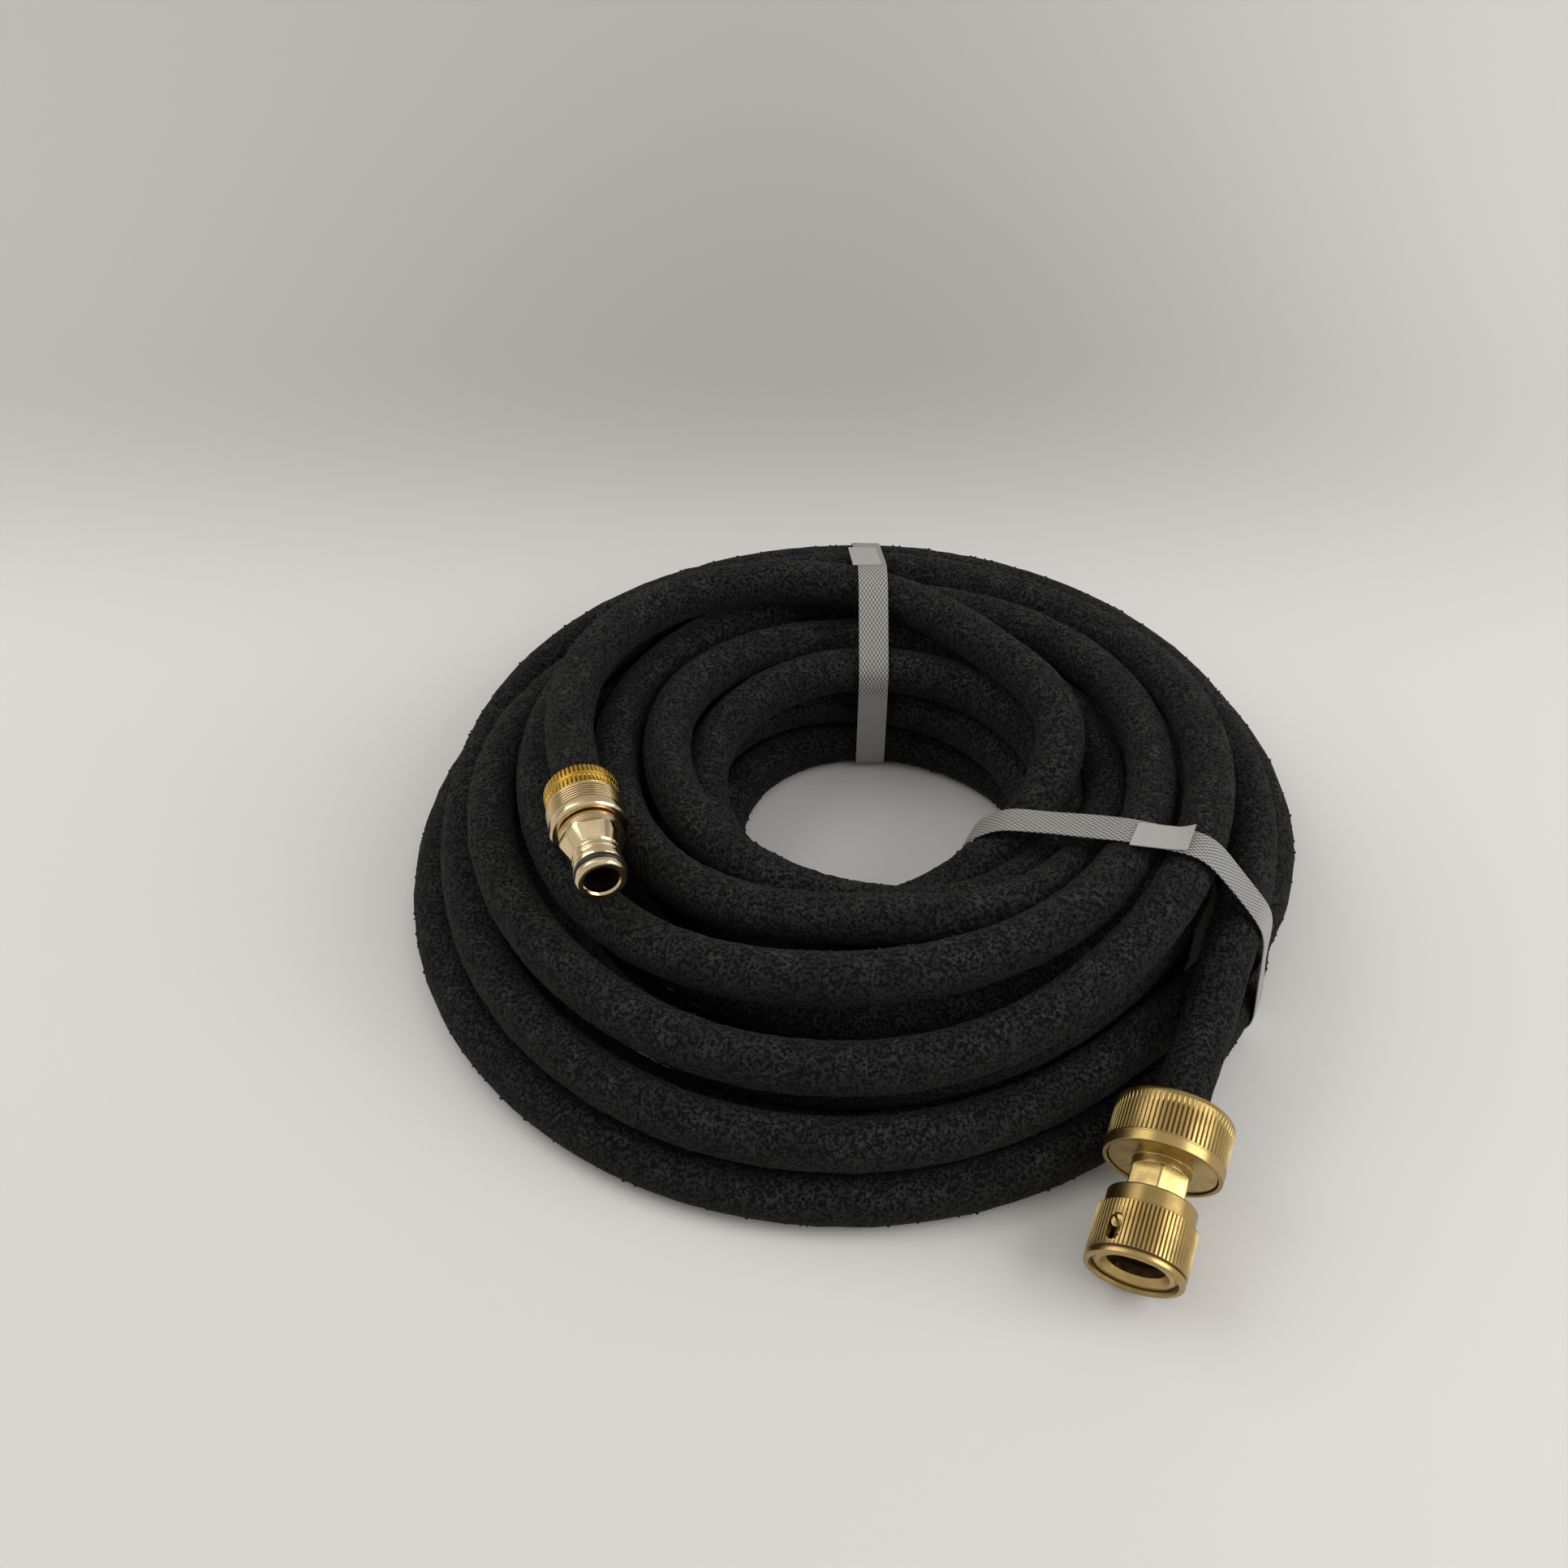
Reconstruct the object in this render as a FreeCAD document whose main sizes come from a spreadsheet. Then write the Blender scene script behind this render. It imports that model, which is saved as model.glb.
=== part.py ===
"""Soaker hose: a coiled porous rubber hose with two strap bands and brass quick connectors.

Lengths are millimetres. The floor is z = 0, +Z is up, and the origin is the middle of the
hose's footprint on the floor. Angles of the coil are counted in turns from its front (-Y),
rising towards its right side (+X).
"""
import FreeCAD, Part
import math
import os
import Sketcher

Vector = FreeCAD.Vector
Rotation = FreeCAD.Rotation
Placement = FreeCAD.Placement

ALONG = Vector(0, 0, 1)
ACROSS = Vector(0, 1, 0)
OUTWARD = Vector(1, 0, 0)
FULL_TURN = 360.0

# The driving sizes, which go into the spreadsheet under these names
HOSE_SIZES = {
    "hose_diameter": 16.0,
    "hose_bore": 10.0,
    "resting_flat": 0.5,
    "least_turn_gap": 0.4,
    "coil_centre_x": -3.907,
    "coil_centre_y": 10.536,
    "floor_turn_radius": 137.0,
    "floor_turn_gap": 6.6,
    "second_turn_gap": 3.5,
    "second_layer_gap": 0.9,
    "second_turn_rise": 2.7,
    "eye_drift_x": 11.0,
    "eye_drift_y": 3.0,
}
STRAP_SIZES = {
    "strap_width": 12.0,
    "strap_thickness": 0.6,
    "strap_clearance": 0.4,
    "strap_notch_margin": 0.8,
}
FEMALE_PLACE = {
    "female_heading": 68.66,
    "female_tilt": 13.36,
    "female_straight_hose": 58.0,
    "female_hose_end": 36.3,
}
SLEEVE_SIZES = {
    "sleeve_length": 21.5,
    "sleeve_radius": 14.0,
    "sleeve_rim_length": 3.5,
    "sleeve_rim_groove": 0.4,
    "sleeve_groove_depth": 0.3,
    "sleeve_wall": 2.6,
    "sleeve_band_step": 1.3,
    "sleeve_band_start": 16.0,
    "sleeve_mouth_chamfer": 0.9,
    "sleeve_edge_round": 0.7,
    "sleeve_ridges": 72,
    "sleeve_stroke": 3.6,
    "sleeve_shoulder": 2.9,
    "sleeve_flange_start": 13.3,
    "sleeve_flange_length": 1.0,
    "window_width": 4.2,
    "window_turn": 145.0,
}
SOCKET_SIZES = {
    "socket_wall": 3.0,
    "socket_front": 1.2,
    "socket_lead_in": 2.0,
    "socket_lead_in_width": 1.4,
    "socket_step": 13.0,
    "socket_waist_step": 1.3,
    "bore_relief_start": 6.0,
    "bore_relief_length": 0.6,
    "bore_relief_depth": 1.0,
    "socket_end": 21.4,
    "socket_collar_length": 0.8,
    "socket_floor": 20.2,
    "sliding_gap": 0.2,
    "neck_radius": 8.5,
    "neck_groove_radius": 8.0,
    "neck_hexagon": 16.0,
    "neck_hexagon_start": 21.8,
    "neck_hexagon_length": 8.0,
    "waterway_radius": 3.6,
    "seal_thickness": 1.6,
    "seal_bore": 4.4,
    "ring_groove_start": 1.7,
    "ring_thickness": 0.9,
    "ring_groove_depth": 0.7,
    "ring_height": 1.3,
}
BALL_SIZES = {
    "ball_radius": 1.85,
    "ball_place": 9.0,
    "ball_lift": 1.0,
    "ball_race_gap": 0.15,
    "ball_count": 4,
    "ball_clearance": 0.1,
    "guide_screw_place": 9.4,
    "guide_screw_head": 1.8,
    "guide_screw_shank": 1.2,
    "guide_screw_sink": 0.6,
    "guide_screw_depth": 2.0,
    "guide_screw_slot": 0.6,
    "drilling_place": 5.5,
    "drilling_radius": 1.25,
    "spring_wire": 0.9,
    "spring_turns": 2.5,
}
FEMALE_NUT_SIZES = {
    "female_nut_radius": 17.0,
    "female_nut_front": 32.0,
    "female_nut_end": 49.5,
    "female_nut_round": 3.2,
    "female_nut_rim": 4.0,
    "female_nut_lip": 0.3,
    "female_nut_lip_length": 0.8,
    "female_nut_ridges": 76,
    "female_nut_recess": 2.6,
    "female_nut_wall": 1.3,
    "female_thread_wall": 2.9,
    "female_flange_front": 32.6,
    "female_flange_length": 1.6,
    "female_skirt_end": 42.0,
    "female_nut_bore_end": 43.1,
    "female_cone_end": 47.2,
    "female_tail_end": 50.0,
}
MALE_PLACE = {
    "male_heading": 104.2,
    "male_tilt": -0.7,
    "male_straight_hose": 52.0,
    "male_hose_end": 24.5,
}
MALE_SIZES = {
    "nose_radius": 7.8,
    "nose_bore": 5.1,
    "nose_lip_end": 2.2,
    "seal_groove_radius": 5.9,
    "seal_groove_end": 4.5,
    "o_ring_radius": 1.05,
    "nose_collar_end": 6.2,
    "lock_neck_radius": 6.7,
    "lock_neck_start": 7.2,
    "lock_neck_end": 10.8,
    "taper_radius": 9.9,
    "taper_start": 11.6,
    "taper_end": 16.5,
    "taper_flat_inner": 6.9,
    "taper_flat_outer": 9.0,
    "undercut_start": 20.3,
    "undercut_radius": 8.8,
    "male_body_radius": 12.0,
    "male_body_start": 21.1,
    "male_body_end": 33.6,
    "male_body_chamfer": 0.6,
    "turned_groove_start": 24.2,
    "turned_groove_pitch": 0.95,
    "turned_groove_width": 0.4,
    "turned_groove_depth": 0.22,
    "male_cavity_radius": 10.3,
    "male_cavity_start": 28.4,
    "male_cone_start": 26.0,
    "male_socket_floor": 24.2,
    "male_tail_end": 38.5,
    "male_bore_step": 17.0,
    "male_nut_radius": 11.5,
    "male_nut_front": 34.1,
    "male_nut_end": 42.5,
    "male_nut_round": 1.5,
    "male_nut_ridges": 64,
    "male_nut_skirt_start": 29.6,
    "male_nut_band": 1.2,
}
SHARED_SIZES = {
    "thread_clearance": 0.1,
    "hose_clearance": 0.5,
    "clamp_clearance": 0.3,
    "tail_clearance": 0.3,
    "barb_height": 0.25,
    "barb_pitch": 4.0,
    "slip_ring_thickness": 0.7,
    "knurl_depth": 0.35,
    "knurl_width": 0.8,
    "nut_knurl_start": 1.1,
}
TURNED_GROOVES = 7
BARBS = 3
CLAMP_SLITS = 4
SPRING_ARCS = 12

# How the hose lies where it is not a steady spiral: (turn, radius, height) of its middle line,
# placed by hand for a hose and a floor turn of these sizes, and carried to the sheet's own
PLACED_DIAMETER = 16.0
PLACED_FLOOR_RADIUS = 137.0
# The ends of the straight stretches that the two connectors hold
CONNECTOR_EXITS = {
    "female": (-1.88885, 148.472, 28.902),
    "male": (12.78618, 86.797, 67.665),
}
# It comes over the pile from the female connector and drops to the outer turn on the floor.
FIRST_TURNS = [
    (-1.865, 140.5, 34.0), (-1.845, 135.5, 40.0), (-1.8, 133.0, 42.0), (-1.75, 133.0, 41.5),
    (-1.625, 133.5, 39.0), (-1.5, 132.5, 35.5), (-1.375, 133.5, 29.5), (-1.25, 126.0, 24.4),
    (-1.0, 130.5, 24.4), (-0.917, 126.0, 21.8), (-0.875, 125.5, 21.6), (-0.83, 128.5, 23.4),
    (-0.8, 133.0, 24.6), (-0.75, 143.0, 25.0), (-0.5, 142.0, 18.0), (-0.25, 137.0, 7.5),
]
# It climbs from the floor at the inner end of the floor layer.
FIRST_CLIMB = [(4.0, 49.0, 10.0), (4.125, 57.5, 20.0), (4.25, 66.0, 23.5)]
# It climbs again at the outer end of the second layer and winds in loosely on top of the pile,
# then dips inside the eye and crosses the top to the male connector.
TOP_TURNS = [
    (7.125, 111.5, 31.0), (7.25, 117.6, 30.0), (7.375, 119.5, 27.0), (7.5, 118.0, 26.0),
    (7.625, 116.5, 31.5), (7.75, 115.0, 41.0), (8.0, 117.0, 41.0), (8.125, 116.8, 46.8),
    (8.25, 116.0, 48.0), (8.5, 115.0, 44.5), (8.75, 98.5, 49.2), (8.875, 97.5, 49.2),
    (9.0, 97.0, 57.0), (9.125, 98.6, 58.4), (9.25, 99.0, 57.0), (9.5, 97.5, 43.0),
    (9.75, 74.5, 48.5), (9.875, 73.5, 51.0), (9.9375, 73.7, 54.0), (10.0, 74.0, 57.0),
    (10.125, 83.0, 51.0), (10.25, 86.5, 44.3), (10.375, 83.5, 43.5), (10.5, 77.5, 41.3),
    (10.5625, 73.2, 43.9), (10.625, 67.0, 48.0), (10.75, 57.0, 52.0), (10.9, 54.8, 49.6),
    (11.0, 57.5, 45.0), (11.125, 67.5, 43.5), (11.1875, 69.5, 42.5), (11.25, 69.8, 42.0),
    (11.5, 60.0, 41.3), (11.5625, 55.4, 40.7), (11.625, 51.0, 40.2), (11.75, 45.5, 38.2),
    (11.875, 45.0, 35.0), (11.9375, 47.5, 31.7), (12.0, 50.5, 29.2), (12.0625, 49.3, 32.8),
    (12.125, 49.0, 41.5), (12.1875, 56.0, 53.0), (12.25, 69.0, 60.0), (12.375, 72.5, 59.0),
    (12.5, 87.0, 59.5), (12.625, 93.5, 63.5),
]
QUARTER = 0.25
FLOOR_QUARTERS = 16
SECOND_QUARTERS = 11
SECOND_START_TURN = 3.584
EYE_TURN = 3.496

# The strap bands: a point of the vertical plane that each lies in, and the plane's heading
STRAP_BACK = {"x": 12.5, "y": 95.0, "heading": 90.0}
STRAP_RIGHT = {"x": 95.5, "y": -52.0, "heading": -24.3}
STRAP_REACH = 75.0
STRAP_LEAST_SIDE = 2.5
SURFACE_PLACES = 48


class Size:
    """A size that is known as a number and as the spreadsheet formula that gives it."""

    def __init__(self, value, formula):
        self.value = value
        self.formula = formula

    def _joined(self, other, sign, value):
        return Size(value, "(%s %s %s)" % (self.formula, sign, formula_of(other)))

    def __add__(self, other):
        return self._joined(other, "+", self.value + value_of(other))

    def __sub__(self, other):
        return self._joined(other, "-", self.value - value_of(other))

    def __mul__(self, other):
        return self._joined(other, "*", self.value * value_of(other))

    def __truediv__(self, other):
        return self._joined(other, "/", self.value / value_of(other))


def value_of(size):
    """The number of a Size or of a plain number."""
    return size.value if isinstance(size, Size) else float(size)


def formula_of(size):
    """The formula of a Size or of a plain number."""
    return size.formula if isinstance(size, Size) else repr(float(size))


class SizeSheet:
    """The spreadsheet of driving sizes, read by name."""

    def __init__(self, doc, sizes):
        cells = doc.addObject("Spreadsheet::Sheet", "Sizes")
        for row, (name, value) in enumerate(sizes.items(), start=1):
            cells.set("A%d" % row, name)
            cells.set("B%d" % row, str(value))
            cells.setAlias("B%d" % row, name)
        doc.recompute()
        self.cells = cells

    def __getattr__(self, name):
        return Size(float(self.cells.get(name)), "Sizes." + name)


def socket_radius(s):
    return s.sleeve_radius - s.sleeve_wall - s.sliding_gap


def socket_bore(s):
    return socket_radius(s) - s.socket_wall


def socket_waist(s):
    return socket_radius(s) - s.socket_waist_step


def ball_orbit(s):
    """How far out the middle of a locking ball stands at rest."""
    return s.sleeve_radius - s.sleeve_wall - s.ball_race_gap - s.ball_radius


def guide_screw_top(s):
    return s.sleeve_radius - s.guide_screw_sink


def female_flange_radius(s):
    return s.female_nut_radius - s.female_nut_wall - s.clamp_clearance


def female_skirt_radius(s):
    return s.female_nut_radius - s.female_thread_wall - s.thread_clearance


def bind(feature, name, size):
    """Sets a property of a feature to a size, by its formula."""
    if isinstance(size, Size):
        feature.setExpression(name, size.formula)
    else:
        setattr(feature, name, size)


def origin_feature(body, role):
    """One of a body's own origin planes or axes."""
    return next(item for item in body.Origin.OriginFeatures if item.Role == role)


def new_body(doc, label):
    body = doc.addObject("PartDesign::Body", label)
    body.Label = label
    return body


def outline_sketch(body, name, plane, corners):
    """A closed outline of straight lines whose corners are bound to sizes."""
    sketch = body.newObject("Sketcher::SketchObject", name)
    sketch.AttachmentSupport = (origin_feature(body, plane), [""])
    sketch.MapMode = "FlatFace"
    places = [Vector(value_of(x), value_of(y), 0) for x, y in corners]
    count = len(places)
    for index in range(count):
        line = Part.LineSegment(places[index], places[(index + 1) % count])
        sketch.addGeometry(line, False)
    for index in range(count):
        sketch.addConstraint(Sketcher.Constraint("Coincident", index, 2, (index + 1) % count, 1))
    for index, corner in enumerate(corners):
        for kind, size in zip(("DistanceX", "DistanceY"), corner):
            number = sketch.addConstraint(
                Sketcher.Constraint(kind, -1, 1, index, 1, value_of(size)))
            if isinstance(size, Size):
                sketch.setExpression("Constraints[%d]" % number, size.formula)
    return sketch


def turned_body(doc, label, corners):
    """A body turned about its own Z axis, from corners given as (radius, distance along)."""
    body = new_body(doc, label)
    sketch = outline_sketch(body, label + "_outline", "XZ_Plane", corners)
    turning = body.newObject("PartDesign::Revolution", label + "_turning")
    turning.Profile = sketch
    turning.ReferenceAxis = (sketch, ["V_Axis"])
    turning.Angle = FULL_TURN
    doc.recompute()
    return body


def circular_edges(shape, radius, height):
    """The names of a shape's round edges about Z at one radius and height."""
    names = []
    for number, edge in enumerate(shape.Edges, start=1):
        curve = edge.Curve
        if not isinstance(curve, Part.Circle):
            continue
        if abs(curve.Radius - value_of(radius)) > 1e-4:
            continue
        if abs(curve.Center.z - value_of(height)) < 1e-4:
            names.append("Edge%d" % number)
    return names


def rounded(doc, body, name, radius, height, size):
    """Rounds the circular edge of a body at one radius and height."""
    base = body.Tip
    fillet = body.newObject("PartDesign::Fillet", name)
    fillet.Base = (base, circular_edges(base.Shape, radius, height))
    bind(fillet, "Radius", size)
    doc.recompute()
    return fillet


def pocket_through(doc, body, name, sketch, start, length):
    """Cuts a sketch of the XY plane into a body, from start over a length along Z."""
    bind(sketch, "AttachmentOffset.Base.z", start)
    pocket = body.newObject("PartDesign::Pocket", name)
    pocket.Profile = sketch
    pocket.Reversed = True
    bind(pocket, "Length", length)
    before = body.Shape.Volume
    doc.recompute()
    if pocket.Shape.Volume >= before:
        raise RuntimeError(name + " removes nothing")
    return pocket


def repeated_round(doc, body, name, feature, sketch, count):
    """Repeats a feature evenly about a body's axis."""
    pattern = body.newObject("PartDesign::PolarPattern", name)
    pattern.Originals = [feature]
    pattern.Axis = (sketch, ["N_Axis"])
    pattern.Angle = FULL_TURN
    bind(pattern, "Occurrences", count)
    body.Tip = pattern
    doc.recompute()
    return pattern


def knurled(doc, body, name, s, radius, start, length, count):
    """Cuts the straight knurling of a grip: fine V grooves along the axis."""
    outside = radius + s.knurl_depth
    corners = [
        (outside, s.knurl_width * -1.0),
        (radius - s.knurl_depth, 0),
        (outside, s.knurl_width),
    ]
    sketch = outline_sketch(body, name + "_groove", "XY_Plane", corners)
    groove = pocket_through(doc, body, name + "_cut", sketch, start, length)
    return repeated_round(doc, body, name, groove, sketch, count)


def unit(vector):
    """A copy of a vector with length one."""
    return Vector(vector).normalize()


def fitting_placement(s, side):
    """Where a connector lies: its mouth's middle, with its own +Z from the mouth to the hose."""
    heading = value_of(getattr(s, side + "_heading"))
    tilt = value_of(getattr(s, side + "_tilt"))
    straight = value_of(getattr(s, side + "_straight_hose"))
    turn = Rotation(ALONG, heading).multiply(Rotation(ACROSS, 90.0 - tilt))
    hose_exit = around_coil(s, *carried(s, [CONNECTOR_EXITS[side]])[0])
    return Placement(hose_exit - turn.multVec(ALONG * straight), turn)


def coil_centre(s):
    return Vector(s.coil_centre_x.value, s.coil_centre_y.value, 0)


# The route of the hose

def around_coil(s, turn, radius, height):
    """A place beside the coil's middle, by turn, radius and height."""
    angle = 2 * math.pi * (turn - QUARTER)
    flat = Vector(radius * math.cos(angle), radius * math.sin(angle), height)
    return coil_centre(s) + flat


def carried(s, stations):
    """Hand-placed stations carried to the sheet's hose and coil, with the turns' gaps kept."""
    growth = s.hose_diameter.value / PLACED_DIAMETER
    shift = s.floor_turn_radius.value - PLACED_FLOOR_RADIUS * growth
    return [(turn, radius * growth + shift, height * growth)
            for turn, radius, height in stations]


def floor_pitch(s):
    return s.hose_diameter.value + s.floor_turn_gap.value


def drifted(s, turn, radius):
    """A spiral's radius with the eye's drift, which grows towards the eye."""
    angle = 2 * math.pi * (turn - QUARTER)
    depth = (s.floor_turn_radius.value - radius) / (floor_pitch(s) * EYE_TURN)
    shift = s.eye_drift_x.value * math.cos(angle) + s.eye_drift_y.value * math.sin(angle)
    return radius + depth * shift


def floor_turns(s):
    """The first layer, spiralling in on the floor."""
    height = s.hose_diameter.value / 2 - s.resting_flat.value
    turns = []
    for quarter in range(FLOOR_QUARTERS):
        turn = quarter * QUARTER
        radius = s.floor_turn_radius.value - floor_pitch(s) * turn
        turns.append((turn, drifted(s, turn, radius), height))
    return turns


def second_turns(s):
    """The second layer, spiralling out on the first, a little higher at its front."""
    first_turn = FIRST_CLIMB[-1][0]
    diameter = s.hose_diameter.value
    first_radius = s.floor_turn_radius.value - floor_pitch(s) * SECOND_START_TURN
    height = diameter * 1.5 - s.resting_flat.value + s.second_layer_gap.value
    turns = []
    for quarter in range(1, SECOND_QUARTERS + 1):
        turn = first_turn + quarter * QUARTER
        grown = (diameter + s.second_turn_gap.value) * (turn - first_turn)
        radius = first_radius + grown
        backness = 0.5 + 0.5 * math.sin(2 * math.pi * (turn - QUARTER))
        middle = min(max((3.25 * diameter - grown) / (2.25 * diameter), 0.0), 1.0)
        rise = s.second_turn_rise.value * (1 - backness ** 2) * math.sin(math.pi * middle)
        turns.append((turn, drifted(s, turn, radius), height + rise))
    return turns


def route_stations(s):
    """All stations of the hose's middle line between its two straight ends."""
    return (carried(s, FIRST_TURNS) + floor_turns(s) + carried(s, FIRST_CLIMB)
            + second_turns(s) + carried(s, TOP_TURNS))


def station_tangent(s, before, here, after):
    """The direction of the line at a station, from the stations beside it."""
    step_in = here[0] - before[0]
    step_out = after[0] - here[0]
    rates = []
    for item in (1, 2):
        slope_in = (here[item] - before[item]) / step_in
        slope_out = (after[item] - here[item]) / step_out
        rates.append((step_out * slope_in + step_in * slope_out) / (step_in + step_out))
    angle = 2 * math.pi * (here[0] - QUARTER)
    outward = Vector(math.cos(angle), math.sin(angle), 0)
    onward = Vector(-math.sin(angle), math.cos(angle), 0)
    return unit(outward * rates[0] + onward * (2 * math.pi * here[1]) + ALONG * rates[1])


def as_station(s, place, near_turn):
    """The (turn, radius, height) of a place, with its turn nearest to the one given."""
    flat = place - coil_centre(s)
    turn = math.atan2(flat.y, flat.x) / (2 * math.pi) + QUARTER
    turn += round(near_turn - turn)
    return (turn, math.hypot(flat.x, flat.y), flat.z)


def route_nodes(s):
    """Points and directions of the hose's middle line, from its female end to its male end."""
    female = fitting_placement(s, "female")
    male = fitting_placement(s, "male")
    to_hose = female.Rotation.multVec(ALONG)
    to_mouth = male.Rotation.multVec(ALONG) * -1.0
    female_exit = female.multVec(ALONG * s.female_straight_hose.value)
    male_exit = male.multVec(ALONG * s.male_straight_hose.value)
    stations = route_stations(s)
    first = as_station(s, female_exit, stations[0][0])
    last = as_station(s, male_exit, stations[-1][0])
    line = [first] + stations + [last]
    nodes = [(female.multVec(ALONG * s.female_hose_end.value), to_hose), (female_exit, to_hose)]
    for before, here, after in zip(line, line[1:], line[2:]):
        nodes.append((around_coil(s, *here), station_tangent(s, before, here, after)))
    nodes.append((male_exit, to_mouth))
    nodes.append((male.multVec(ALONG * s.male_hose_end.value), to_mouth))
    return nodes


def biarc_corners(start, start_way, end, end_way):
    """The two control corners and the joint of a pair of arcs with equal reach."""
    chord = end - start
    ways = start_way + end_way
    square = 2 * (1 - start_way.dot(end_way))
    linear = 2 * chord.dot(ways)
    constant = -chord.dot(chord)
    if square < 1e-9:
        reach = -constant / linear
    else:
        root = math.sqrt(linear * linear - 4 * square * constant)
        reach = (root - linear) / (2 * square)
    first = start + start_way * reach
    second = end - end_way * reach
    return first, (first + second) * 0.5, second


def arc_between(start, corner, end):
    """The arc that leaves start towards a corner and arrives at end: (edge, radius)."""
    into = corner - start
    away = end - corner
    turn = into.getAngle(away)
    if turn < 1e-5:
        return Part.LineSegment(start, end).toShape(), math.inf
    radius = into.Length / math.tan(turn / 2)
    middle = (start + end) * 0.5
    bulge = unit(corner - middle) * (radius * (1 - math.cos(turn / 2)))
    return Part.Arc(start, middle + bulge, end).toShape(), radius


def joined_arcs(nodes):
    """Tangent edges through points with directions, with each arc's radius."""
    edges = []
    radii = []
    for (start, start_way), (end, end_way) in zip(nodes, nodes[1:]):
        straight = abs((end - start).getAngle(start_way)) < 1e-6
        if straight and start_way.getAngle(end_way) < 1e-6:
            edges.append(Part.LineSegment(start, end).toShape())
            continue
        first, joint, second = biarc_corners(start, start_way, end, end_way)
        for a, b, c in ((start, first, joint), (joint, second, end)):
            edge, radius = arc_between(a, b, c)
            edges.append(edge)
            radii.append(radius)
    return edges, radii


def line_points(edges, step):
    """Points along the middle line, each with its distance from the start."""
    points = []
    walked = 0.0
    for edge in edges:
        count = max(2, int(edge.Length / step))
        for index in range(count):
            points.append((walked + edge.Length * index / count,
                           edge.valueAt(edge.getParameterByLength(edge.Length * index / count))))
        walked += edge.Length
    return points


def least_gap(points, diameter, near_length):
    """The least gap between stretches of the hose that lie further apart along it."""
    cell = 2.0 * diameter
    boxes = {}
    for item in points:
        place = item[1]
        key = (int(place.x // cell), int(place.y // cell), int(place.z // cell))
        boxes.setdefault(key, []).append(item)
    least = math.inf
    offsets = [(x, y, z) for x in (-1, 0, 1) for y in (-1, 0, 1) for z in (-1, 0, 1)]
    for (x, y, z), here in boxes.items():
        for dx, dy, dz in offsets:
            there = boxes.get((x + dx, y + dy, z + dz), [])
            for walked, place in here:
                for other_walked, other in there:
                    if other_walked - walked > near_length:
                        least = min(least, place.distanceToPoint(other))
    return least - diameter


def tube_faces(path, radius, start, way):
    """The faces of a tube's wall along a path, and its two end wires."""
    ring = Part.Wire([Part.makeCircle(radius, start, way)])
    sweep = Part.BRepOffsetAPI.MakePipeShell(path)
    sweep.add(ring)
    sweep.build()
    return sweep.shape().Faces, Part.Wire(sweep.firstShape().Edges), Part.Wire(
        sweep.lastShape().Edges)


def hose_solid(s, edges):
    """The porous hose: one unbroken tube with its bore, square at both ends."""
    path = Part.Wire(edges)
    nodes = route_nodes(s)
    start, way = nodes[0]
    outer, outer_first, outer_last = tube_faces(path, s.hose_diameter.value / 2, start, way)
    inner, inner_first, inner_last = tube_faces(path, s.hose_bore.value / 2, start, way)
    ends = [
        Part.Face([outer_first, inner_first]),
        Part.Face([outer_last, inner_last]),
    ]
    solid = Part.makeSolid(Part.makeShell(outer + inner + ends))
    solid.fix(1e-6, 1e-6, 1e-5)
    return solid


def strap_plane(s, strap):
    """The frame of a strap's loop: its own X outwards along the floor, Y up, Z along the hose."""
    outward = Rotation(ALONG, strap["heading"])
    place = coil_centre(s) + Vector(strap["x"], strap["y"], 0)
    return Placement(place, outward.multiply(Rotation(OUTWARD, 90.0)))


def crossing_places(frame, points, radius, half_width, reach):
    """Where the hose's surface lies within a strap's width, in the strap's plane."""
    back = frame.inverse()
    places = []
    for (_, here), (_, there) in zip(points, points[1:]):
        local = back.multVec(here)
        if abs(local.z) > half_width + radius or abs(local.x) > reach:
            continue
        way = unit(there - here)
        side = unit(way.cross(ALONG))
        up = side.cross(way)
        for index in range(SURFACE_PLACES):
            angle = 2 * math.pi * index / SURFACE_PLACES
            spoke = side * (radius * math.cos(angle)) + up * (radius * math.sin(angle))
            local = back.multVec(here + spoke)
            if abs(local.z) <= half_width:
                places.append((local.x, local.y))
    return places


def convex_outline(places):
    """The convex outline of flat places, anticlockwise."""
    ordered = sorted(set(places))

    def half(sequence):
        chain = []
        for place in sequence:
            while len(chain) > 1:
                ax, ay = chain[-2]
                bx, by = chain[-1]
                if (bx - ax) * (place[1] - ay) - (by - ay) * (place[0] - ax) > 1e-9:
                    break
                chain.pop()
            chain.append(place)
        return chain[:-1]

    return half(ordered) + half(reversed(ordered))


def simplified(outline, least_side):
    """Drops corners that lie closer to the one before than a least side."""
    kept = [outline[0]]
    for place in outline[1:]:
        if math.dist(place, kept[-1]) > least_side:
            kept.append(place)
    if math.dist(kept[0], kept[-1]) <= least_side:
        kept.pop()
    return kept


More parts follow.
